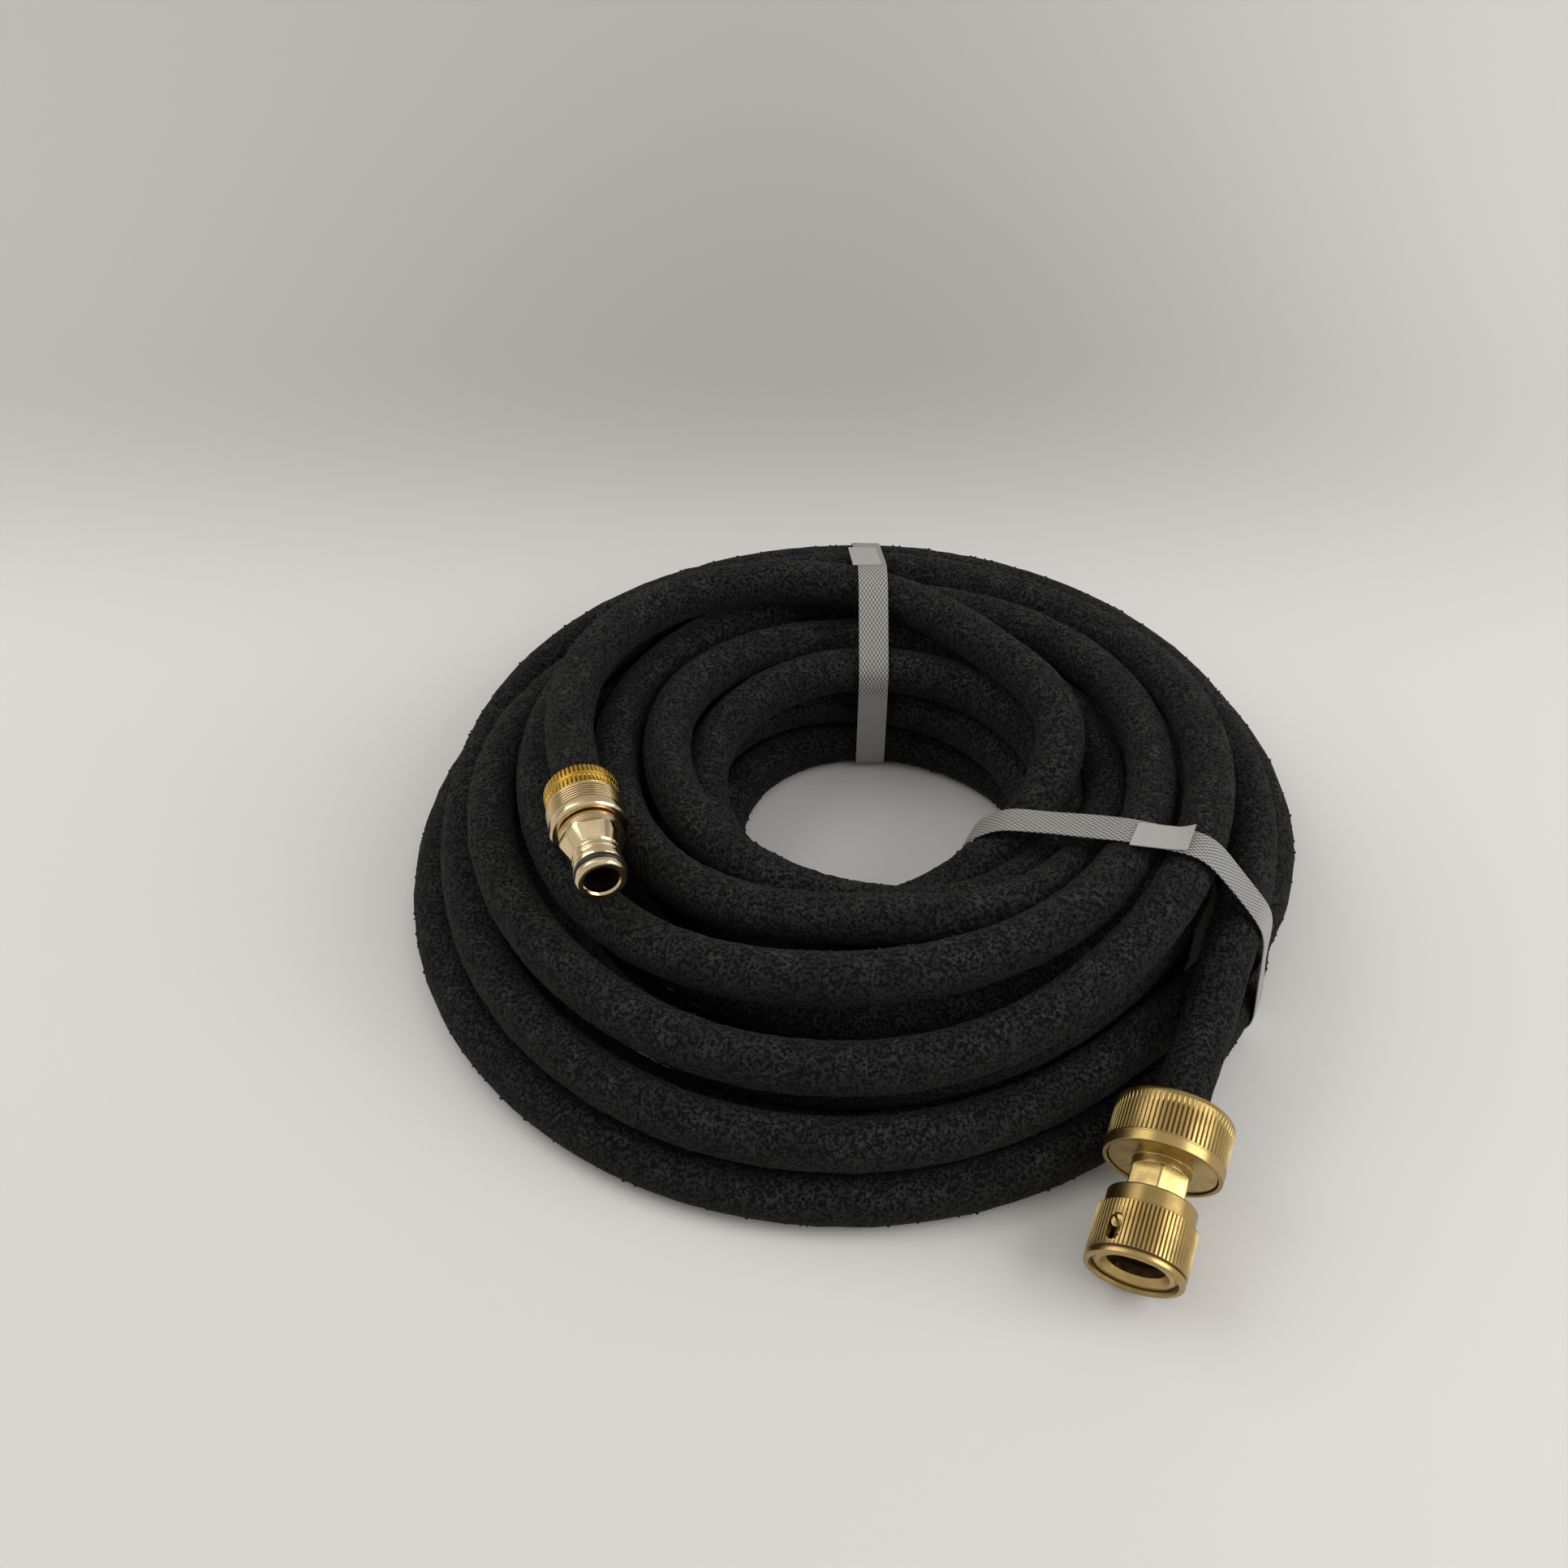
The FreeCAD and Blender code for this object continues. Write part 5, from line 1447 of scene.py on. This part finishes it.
@dataclass
class PorousHose:
    """The hose itself: a tube of pressed rubber crumbs with a lumpy skin."""

    route: HoseRoute = field(default_factory=HoseRoute)
    sides: int = 28
    bore: float = 0.005
    bore_depth: int = 14
    lump: float = 0.00032
    lump_scale: float = 330.0
    grain_scale: float = 900.0
    grain_shift: Place = (7.0, 3.0, 1.0)
    grain_share: float = 0.6
    band_half: float = 0.0066
    band_lift: float = 0.00075
    crumb_density: float = 36000.0
    crumb_size: float = 0.00078
    crumb_floor: float = 0.0012
    crumb_slope: float = -0.75

    @staticmethod
    def _rings(line: Sequence[Vector]) -> List[Tuple[Vector, Vector, Vector]]:
        """The middle, side and upward spoke of each ring, carried along without twist.

        Args:
            line: The middle line.

        Returns:
            One row for each ring.
        """
        rings = []
        side = None
        for index, here in enumerate(line):
            way = (line[min(index + 1, len(line) - 1)] - line[max(index - 1, 0)]).normalized()
            if side is None:
                side = way.cross(UP).normalized()
            side = (side - way * side.dot(way)).normalized()
            rings.append((here, side, side.cross(way)))
        return rings

    def _round(self, ring: Tuple[Vector, Vector, Vector],
               radius: float) -> Iterator[Tuple[Vector, Vector]]:
        """The places round a ring, each with its way out.

        Args:
            ring: The ring's middle and its spokes.
            radius: How far out they are.

        Yields:
            Each place, with its way out.
        """
        middle, side, above = ring
        for step in range(self.sides):
            angle = TAU * step / self.sides
            out = side * math.cos(angle) + above * math.sin(angle)
            yield middle + out * radius, out

    def _skin(self, spot: Vector, out: Vector, straps: Sequence[Matrix]) -> Vector:
        """A point of the skin with its lumps, pressed flat on the floor and on the bands.

        Args:
            spot: The point.
            out: Its way out.
            straps: From the world into each band's plane.

        Returns:
            The moved point.
        """
        coarse = noise.noise(spot * self.lump_scale) * self.lump
        shifted = spot * self.grain_scale + Vector(self.grain_shift)
        finer = noise.noise(shifted) * self.lump * self.grain_share
        place = spot + out * (coarse + finer - self.lump * 0.5)
        local = [back @ place for back in straps]
        held = any(abs(p.z) < self.band_half and abs(p.x) < BAND_REACH for p in local)
        place.z = max(place.z, self.band_lift if held else 0.0)
        return place

    def build(self, line: Sequence[Vector], straps: Sequence[Matrix], finish: Any) -> Any:
        """Makes the hose with its bore open at both ends.

        Args:
            line: The middle line.
            straps: From the world into each band's plane.
            finish: The material.

        Returns:
            The hose.
        """
        rings = self._rings(line)
        radius = self.route.diameter / 2
        points = [self._skin(spot, out, straps) for ring in rings
                  for spot, out in self._round(ring, radius)]
        faces = self._tube(0, len(rings))
        last = len(rings) - 1
        for order in (range(self.bore_depth), range(last, last - self.bore_depth, -1)):
            start = len(points)
            points += [spot for number in order
                       for spot, _ in self._round(rings[number], self.bore)]
            faces += self._tube(start, self.bore_depth)
            faces += ring_faces(order[0] * self.sides, start, self.sides)
            faces.append(tuple(range(len(points) - self.sides, len(points))))
        mesh = mesh_of("porous_hose", points, faces)
        # How far each point of the skin faces upwards, for dust and painted top light.
        marks_on(mesh, "dust_and_top_light").foreach_set(
            "value", [max(0.0, item.normal.z) for item in mesh.vertices])
        return settled(new_object("porous_hose", mesh), finish, 60.0, "hose",
                       "soaker_hose")

    def _tube(self, start: int, count: int) -> List[Tuple[int, ...]]:
        """The faces of a tube of rings.

        Args:
            start: The number of its first point.
            count: How many rings it has.

        Returns:
            The faces.
        """
        faces = []
        for ring in range(count - 1):
            here = start + ring * self.sides
            faces += ring_faces(here, here + self.sides, self.sides)
        return faces

    def crumbs(self, hose: Any, finish: Any) -> Any:
        """Scatters loose crumbs over the hose's skin.

        Args:
            hose: The hose.
            finish: The crumbs' material.

        Returns:
            The crumbs.
        """
        skin = hose.data.copy()
        with edited(skin) as work:
            low = [item for item in work.faces if item.normal.z < self.crumb_slope
                   or item.calc_center_median().z < self.crumb_floor]
            bmesh.ops.delete(work, geom=low, context="FACES")
        made = CrumbTree().applied(new_object("hose_crumbs", skin), {
            "Crumbs For Area": self.crumb_density, "Crumb Size": self.crumb_size,
            "Finish": finish})
        return settled(made, finish, 30.0, "hose")


# The connectors

@dataclass
class Connector:
    """What the two brass connectors share."""

    knurl: KnurlTree
    lie: Lie
    groove_depth: float = 0.42

    def __post_init__(self) -> None:
        """Works out the connector's placing."""
        self.placing = self.lie.matrix()

    def _laid(self, thing: Any, finish: Any, degrees: float, body: str, slot: str,
              node: str) -> Any:
        """Puts a piece that was made on its own axis where its connector lies.

        Args:
            thing: The piece.
            finish: Its material.
            degrees: The angle past which an edge is sharp.
            body: The body that it rides on.
            slot: Not used.
            node: The node that it stands for.

        Returns:
            The piece.
        """
        thing.data.transform(self.placing)
        return settled(thing, finish, degrees, body, node)

    def _brass(self, name: str, *tones: Colour, **look: float) -> Any:
        """A brass with its tool lines round this connector's axis."""
        return TurnedBrass(self.placing, *tones, **look).make(name)

    @staticmethod
    def _nylon(name: str) -> Any:
        """The pale plastic of a slip ring."""
        return MouldedSeal(rgb(0.7, 0.69, 0.66), rgb(0.6, 0.59, 0.56)).make(name)


@dataclass
class SocketConnector(Connector):
    """The brass quick-connect socket: body, sliding sleeve, and the nut that grips the hose."""

    lie: Lie = LIES[Side.SOCKET]
    segments: int = 160
    sleeve_ridges: int = 72
    nut_ridges: int = 76
    hexagon_flats: float = 16.0
    window_turn: float = 145.0
    window_mouth: float = 5.8
    sleeve_travel: float = 3.6
    window_width: float = 4.2
    hexagon_ends: Tuple[Flat, ...] = ((21.5, 0.42), (22.3, 0.0), (29.1, 0.0), (29.8, 0.42))
    corner_turn: float = 2.0
    corner_cut: float = 14.0
    ball_hole: Place = (9.0, 1.95, 7.0)
    screw_hole: Place = (5.5, 1.25, 10.0)
    drill_top: float = 14.0
    body_outline: Tuple[Corner, ...] = (
        (9.6, 1.2, 0.1), (11.2, 1.2, 0.25), (11.2, 1.7, 0), (10.5, 1.7, 0), (10.5, 2.8, 0),
        (11.2, 2.8, 0), (11.2, 13.0, 0.1), (9.9, 13.0, 0), (9.9, 20.6, 0), (11.2, 20.6, 0.1),
        (11.2, 21.4, 0.2), (7.85, 21.4, 0), (7.85, 29.8, 0), (8.5, 29.8, 0.25),
        (8.5, 32.6, 0.5), (15.4, 32.6, 0.25), (15.4, 34.2, 0), (14.0, 34.2, 0),
        (14.0, 42.0, 0), (8.5, 42.0, 0), (8.5, 36.0, 0), (4.7, 36.0, 0), (4.7, 50.0, 0),
        (3.6, 50.0, 0), (3.6, 20.2, 0), (8.2, 20.2, 0), (8.2, 6.6, 0), (9.2, 6.6, 0),
        (9.2, 6.0, 0), (8.2, 6.0, 0), (8.2, 3.2, 0.2))
    sleeve_outline: Tuple[Corner, ...] = (
        (12.4, 0.0, 0.25), (14.0, 0.0, 0.95), (14.0, 1.85, 0.25), (13.45, 2.0, 0.1),
        (13.45, 2.45, 0.1), (14.0, 2.6, 0.12), (14.0, 2.95, 0), (14.0, 10.0, 0),
        (14.0, 15.45, 0), (14.0, 15.8, 0.15), (13.75, 16.0, 0.1), (12.7, 16.0, 0.35),
        (12.7, 21.5, 0.7), (11.4, 21.5, 0.25), (11.4, 14.3, 0), (10.1, 14.3, 0),
        (10.1, 13.3, 0), (11.4, 13.3, 0), (11.4, 8.85, 0), (12.4, 5.25, 0), (12.4, 3.85, 0),
        (11.4, 3.65, 0), (11.4, 2.9, 0), (12.1, 2.9, 0), (12.1, 0.9, 0.2))
    nut_outline: Tuple[Corner, ...] = (
        (15.7, 32.0, 0.25), (17.0, 32.0, 0.4), (17.0, 34.9, 0.15), (17.12, 35.05, 0.1),
        (17.12, 35.4, 0.1), (17.0, 35.55, 0.1), (17.0, 35.7, 0), (17.0, 36.1, 0),
        (17.0, 40.5, 0), (17.0, 44.4, 0), (17.0, 44.8, 0), (17.0, 49.5, 4.0),
        (12.0, 49.5, 0.5), (8.5, 49.35, 0.35), (8.5, 47.2, 0), (13.5, 43.1, 0),
        (14.1, 43.1, 0), (14.1, 34.6, 0), (15.7, 34.6, 0))

    def build(self) -> None:
        """Makes and dresses every piece of the connector."""
        body_brass = self._brass("socket_body_brass", rgb(0.56, 0.405, 0.16),
                                 rgb(0.37, 0.26, 0.10), rgb(0.62, 0.39, 0.19), gloss=0.24,
                                 tool_lines=0.5)
        grip_brass = self._brass("socket_grip_brass", rgb(0.43, 0.301, 0.112),
                                 rgb(0.30, 0.209, 0.078), rgb(0.53, 0.35, 0.15), gloss=0.30,
                                 tool_lines=0.35)
        self._body(body_brass)
        self._sleeve(grip_brass)
        self._nut(grip_brass)
        dressed_node("guide_screw", "hose", grip_brass)
        steel = BareSteel().make("ball_steel")
        for number in range(1, 5):
            dressed_node(f"locking_ball_{number}", f"ball_{number}", steel, 60.0)
        drawn_steel = BareSteel(rgb(0.42, 0.42, 0.43), 0.35).make("spring_steel")
        spring = dressed_node("sleeve_spring", "hose", drawn_steel, 60.0)
        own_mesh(spring)
        dressed_node("retaining_ring", "hose", drawn_steel)
        dressed_node("socket_seal", "hose", MouldedSeal().make("seal_rubber"))
        dressed_node("female_clamp_ring", "female_clamp", body_brass)
        dressed_node("female_slip_ring", "female_clamp",
                     self._nylon("slip_plastic"))

    def _body(self, finish: Any) -> None:
        """Makes the socket, its hexagon and the flange.

        Args:
            finish: Its brass.
        """
        turning = turned_mesh("socket_turning", self.body_outline, self.segments, 5)
        thing = new_object("socket_body", joined("socket_body", [turning, self._hexagon()]))
        holes = [self._drill(self.window_turn + 45.0 + 90.0 * k, *self.ball_hole)
                 for k in range(4)]
        holes.append(self._drill(self.window_turn, *self.screw_hole))
        carved(thing, joined("drills", holes))
        # Bore, grooves and the hexagon's ends, which get painted shade.
        shade_hollows(thing, [(5.9, 20.3, 3.5, 9.3), (1.6, 2.9, 10.3, 10.6), (13.1, 20.5, 9.7, 10.0),
                       (21.3, 21.5, 7.8, 7.9), (29.7, 29.9, 7.8, 7.9)])
        self._laid(thing, finish, 24.0, "hose", "female_brass", "female_connector_body")

    def _hexagon(self) -> Any:
        """The hexagon of the body, with its corners cut back at both ends.

        Returns:
            Its mesh, on the connector's own axis.
        """
        half = self.hexagon_flats / 2
        corner = half / math.cos(math.pi / 6)
        points: List[Vector] = []
        for height, cut in self.hexagon_ends:
            for k in range(6):
                angle = math.radians(60.0 * k)
                for side in (-1, 1):
                    tip = angle + side * math.radians(self.corner_turn + self.corner_cut * cut)
                    reach = half / math.cos(math.radians(30.0) - abs(tip - angle))
                    reach = min(reach, corner)
                    points.append(Vector((reach * math.cos(tip), reach * math.sin(tip),
                                          height)) * MM)
        faces: List[Sequence[int]] = [tuple(range(12)), tuple(range(36, 48))]
        for ring in (0, 12, 24):
            faces += ring_faces(ring, ring + 12, 12)
        return mesh_of("hexagon", points, faces)

    def _drill(self, degrees: float, along: float, radius: float, foot: float) -> Any:
        """A round cutter that stands square to the axis.

        Args:
            degrees: Its turn about the axis.
            along: Its place along the axis, in millimetres like the sizes below.
            radius: Its radius.
            foot: How far from the axis it starts.

        Returns:
            Its mesh.
        """
        ring = arc_points((0.0, 0.0), radius, 0.0, TAU, 32)[:-1]
        placing = (Matrix.Translation((0, 0, along * MM))
                   @ Matrix.Rotation(math.radians(degrees), 4, "Z")
                   @ Matrix.Rotation(math.pi / 2, 4, "Y"))
        return prism_mesh(ring, foot, self.drill_top, placing)

    def _sleeve(self, finish: Any) -> None:
        """Makes the sliding sleeve, its knurled grip and its window.

        Args:
            finish: Its brass.
        """
        thing = turned("release_grip", self.sleeve_outline, self.sleeve_ridges * RIDGE_FACES)
        self.knurl.press(thing, finish, self.sleeve_ridges, self.groove_depth, 14.0, 2.7, 15.8)
        half = self.window_width / 2
        outline = (
            arc_points((-self.window_mouth, 0.0), half, -math.pi / 2, math.pi, 32)
            + arc_points((-self.window_mouth - self.sleeve_travel, 0.0), half, math.pi / 2,
                         math.pi, 32))
        turn = (Matrix.Rotation(math.radians(self.window_turn), 4, "Z")
                @ Matrix.Rotation(math.pi / 2, 4, "Y"))
        carved(thing, prism_mesh(outline, 10.6, 16.0, turn))
        # The rim groove and the sleeve's inside, which get painted shade.
        shade_hollows(thing, [(1.9, 2.5, 13.3, 13.6), (3.0, 14.4, 10.0, 12.5)])
        self._laid(thing, finish, 34.0, "sleeve", "sleeve_brass", "release_sleeve")

    def _nut(self, finish: Any) -> None:
        """Makes the big domed nut with its lip and knurled grip.

        Args:
            finish: Its brass.
        """
        thing = turned("hose_nut", self.nut_outline, self.nut_ridges * RIDGE_FACES, 6)
        self.knurl.press(thing, finish, self.nut_ridges, self.groove_depth, 17.0, 35.6, 45.4,
                         0.4)
        self._laid(thing, finish, 34.0, "female_nut", "female_nut_brass",
                   "female_compression_nut")


@dataclass
class PlugConnector(Connector):
    """The brass quick-connect plug: nose with its O-ring, barrel, and the small bright nut."""

    lie: Lie = LIES[Side.PLUG]
    segments: int = 192
    nut_ridges: int = 52
    grooves: int = 6
    groove_from: float = 24.7
    groove_pitch: float = 1.0
    flat_outline: Tuple[Flat, ...] = (
        (7.0, 11.2), (9.05, 16.6), (9.05, 17.0), (13.0, 17.0), (13.0, 11.2))
    flat_half: float = 8.0
    nose_outline: Tuple[Corner, ...] = (
        (5.6, 0.0, 0.12), (7.3, 0.0, 0.5), (7.8, 0.9, 0.5), (7.8, 2.2, 0.2), (5.9, 2.2, 0),
        (5.9, 4.5, 0), (7.8, 4.5, 0.25), (7.8, 6.3, 0.25), (7.2, 6.9, 0.3), (7.2, 8.4, 0.1),
        (7.45, 8.55, 0.08), (7.45, 9.2, 0.08), (7.2, 9.35, 0.1), (7.2, 10.5, 0.2),
        (7.65, 11.1, 0.2), (9.9, 16.5, 0.3), (9.9, 20.3, 0.35), (8.8, 20.3, 0.1),
        (8.8, 21.1, 0.1), (11.4, 21.1, 0.2), (12.0, 21.7, 0.25))
    groove_outline: Tuple[Corner, ...] = (
        (12.0, 0.0, 0.06), (11.5, 0.12, 0.05), (11.5, 0.46, 0.05), (12.0, 0.58, 0.06))
    tail_outline: Tuple[Corner, ...] = (
        (12.0, 31.2, 0.3), (10.3, 31.2, 0.15), (10.3, 28.4, 0), (8.5, 26.0, 0),
        (8.5, 24.2, 0), (4.7, 24.2, 0), (4.7, 38.5, 0), (3.6, 38.5, 0), (3.6, 18.5, 0),
        (5.1, 17.0, 0), (5.1, 2.8, 0), (5.1, 0.7, 0.15))
    nut_outline: Tuple[Corner, ...] = (
        (8.5, 29.6, 0.1), (10.2, 29.6, 0.2), (10.2, 31.7, 0), (11.2, 31.7, 0.15),
        (11.5, 32.0, 0.1), (11.5, 32.3, 0), (11.5, 34.7, 0), (11.5, 35.0, 0.1),
        (11.1, 35.15, 0.1), (11.1, 36.25, 0.1), (11.5, 36.4, 0.1), (11.5, 36.7, 0),
        (11.5, 38.7, 0), (11.45, 39.4, 0.2), (10.4, 40.3, 0.8), (8.5, 40.3, 0.4))

    def build(self) -> None:
        """Makes and dresses every piece of the connector."""
        pale = self._brass("plug_body_brass", rgb(0.76, 0.605, 0.365), rgb(0.57, 0.44, 0.255),
                           rgb(0.75, 0.53, 0.335), gloss=0.13, spread=0.08, patch_scale=90.0)
        yellow = self._brass("plug_nut_brass", rgb(0.66, 0.415, 0.075), rgb(0.48, 0.29, 0.045),
                             rgb(0.70, 0.43, 0.09), gloss=0.2, spread=0.1)
        self._body(pale)
        self._nut(yellow)
        black = MouldedSeal(rgb(0.006, 0.006, 0.006), rgb(0.015, 0.015, 0.015), 0.34)
        dressed_node("male_o_ring", "hose", black.make("o_ring_rubber"), 60.0)
        dressed_node("male_clamp_ring", "male_clamp", yellow)
        dressed_node("male_slip_ring", "male_clamp",
                     self._nylon("plug_slip_plastic"))

    def _body(self, finish: Any) -> None:
        """Makes the plug, with grooves in its barrel and six flats cut into its taper.

        Args:
            finish: Its brass.
        """
        barrel = [(x, self.groove_from + self.groove_pitch * k + y, rounding)
                  for k in range(self.grooves) for x, y, rounding in self.groove_outline]
        thing = turned("plug_body", [*self.nose_outline, *barrel, *self.tail_outline],
                       self.segments)
        for k in range(6):
            placing = (Matrix.Rotation(math.radians(60.0 * k), 4, "Z")
                       @ Matrix.Rotation(math.pi / 2, 4, "X"))
            carved(thing, prism_mesh(self.flat_outline, -self.flat_half, self.flat_half,
                                     placing))
        # Bore, barrel grooves, undercut and O-ring groove, which get painted shade.
        shade_hollows(thing, [(2.7, 40.0, 3.0, 5.3), (24.6, 31.0, 11.35, 11.6), (20.2, 21.2, 8.6, 8.9),
                       (2.1, 4.6, 5.8, 6.0)])
        self._laid(thing, finish, 24.0, "hose", "male_brass", "male_connector_body")

    def _nut(self, finish: Any) -> None:
        """Makes the bright nut, with two knurled bands and a smooth ring between.

        Args:
            finish: Its brass.
        """
        thing = turned("plug_nut", self.nut_outline, self.nut_ridges * RIDGE_FACES, 4)
        for start, end in ((31.95, 35.05), (36.35, 39.7)):
            self.knurl.press(thing, finish, self.nut_ridges, self.groove_depth, 11.5, start,
                             end, 0.3)
        self._laid(thing, finish, 34.0, "male_nut", "male_nut_brass", "male_compression_nut")


# The studio and the whole scene

@dataclass
class Studio:
    """The pale sweep, the soft lights and the camera of the photograph."""

    eye: Place = (-0.023007, -0.401664, 0.4232)
    pitch: float = 42.76
    lens: float = 39.0
    sweep_start: float = 0.26
    sweep_radius: float = 0.39
    sweep_reach: float = 3.0
    sweep_drop: float = 0.0001
    bend_steps: int = 24
    world: float = 0.60
    softboxes: Tuple[Tuple[str, Place, Place, float, float], ...] = (
        ("key", (-0.80, 0.30, 0.85), (0.0, 0.02, 0.03), 0.9, 5.3),
        ("top", (0.05, 0.15, 1.5), (0.0, 0.0, 0.0), 1.3, 1.0),
        ("fill", (0.95, -0.35, 0.75), (0.0, 0.0, 0.05), 0.8, 7.4))

    def build(self) -> None:
        """Makes the camera, the sweep and the lights."""
        self._camera()
        self._sweep()
        self._lights()

    def _camera(self) -> None:
        """Sets the camera where the photograph was taken from."""
        camera = bpy.data.cameras.new("camera")
        camera.lens = self.lens
        camera.sensor_width = 36.0
        camera.clip_start = 0.01
        thing = new_object("camera", camera)
        thing.location = self.eye
        thing.rotation_euler = (math.radians(90.0 - self.pitch), 0.0, 0.0)
        bpy.context.scene.camera = thing

    def _sweep(self) -> None:
        """Makes the floor, which bends up into the backdrop."""
        reach = self.sweep_reach
        bend = arc_points((self.sweep_start, self.sweep_radius), self.sweep_radius, -math.pi / 2,
                          math.pi / 2, self.bend_steps)
        profile = [(-reach, 0.0), *bend, (self.sweep_start + self.sweep_radius, reach)]
        points = [(x, y, z - self.sweep_drop) for x in (-reach, reach) for y, z in profile]
        count = len(profile)
        mesh = bpy.data.meshes.new("sweep")
        mesh.from_pydata(points, [], [(k, count + k, count + k + 1, k + 1)
                                      for k in range(count - 1)])
        mesh.materials.append(PaleSweep().make("sweep"))
        mesh.shade_smooth()
        new_object("sweep", mesh)

    def _lights(self) -> None:
        """Hangs the soft square lights and sets the plain world."""
        for name, place, aim, size, power in self.softboxes:
            light = bpy.data.lights.new(name, "AREA")
            light.size = size
            light.energy = power
            thing = new_object(name, light)
            thing.location = place
            way = Vector(aim) - Vector(place)
            thing.rotation_euler = way.to_track_quat("-Z", "Y").to_euler()
        world = bpy.data.worlds.new("studio")
        world.use_nodes = True
        sky = world.node_tree.nodes["Background"].inputs
        sky["Color"].default_value = rgb(1.0, 0.99, 0.97)
        sky["Strength"].default_value = self.world
        bpy.context.scene.world = world
        bpy.context.scene.view_settings.view_transform = "Standard"


def build_hose() -> None:
    maker = PorousHose()
    line = maker.route.line()
    rubber = CrumbRubber().make("hose_rubber")
    tape = Webbing().make("strap_webbing")
    bands = [
        Strap("back_band", "strap_back", (0.0125, 0.095), 90.0, 0.194, 0.034, -0.0020, 0.0004,
              0.0003, smooth_from=0.014, smooth_to=0.046),
        Strap("right_band", "strap_right", (0.0955, -0.052), -24.3, 0.2092, 0.0172, 0.0006,
              0.0022, 0.0022, smooth_from=0.128, smooth_to=0.166, bulge=0.0012,
              bulge_middle=0.185, bulge_reach=0.034),
    ]
    hose = maker.build(line, [band.matrix().inverted() for band in bands], rubber)
    crumbs = maker.crumbs(hose, rubber)
    for band in bands:
        band.build(line, maker.route.diameter / 2, tape)
    LIES[Side.SOCKET].along(maker.route.socket_stands[0])


def main() -> None:
    """Builds the scene in order: camera, connectors, hose and bands."""
    logging.basicConfig(level=logging.INFO, format="%(name)s: %(message)s")
    Studio().build()
    knurl = KnurlTree()
    SocketConnector(knurl).build()
    PlugConnector(knurl).build()
    build_hose()


if __name__ == "__main__":
    main()
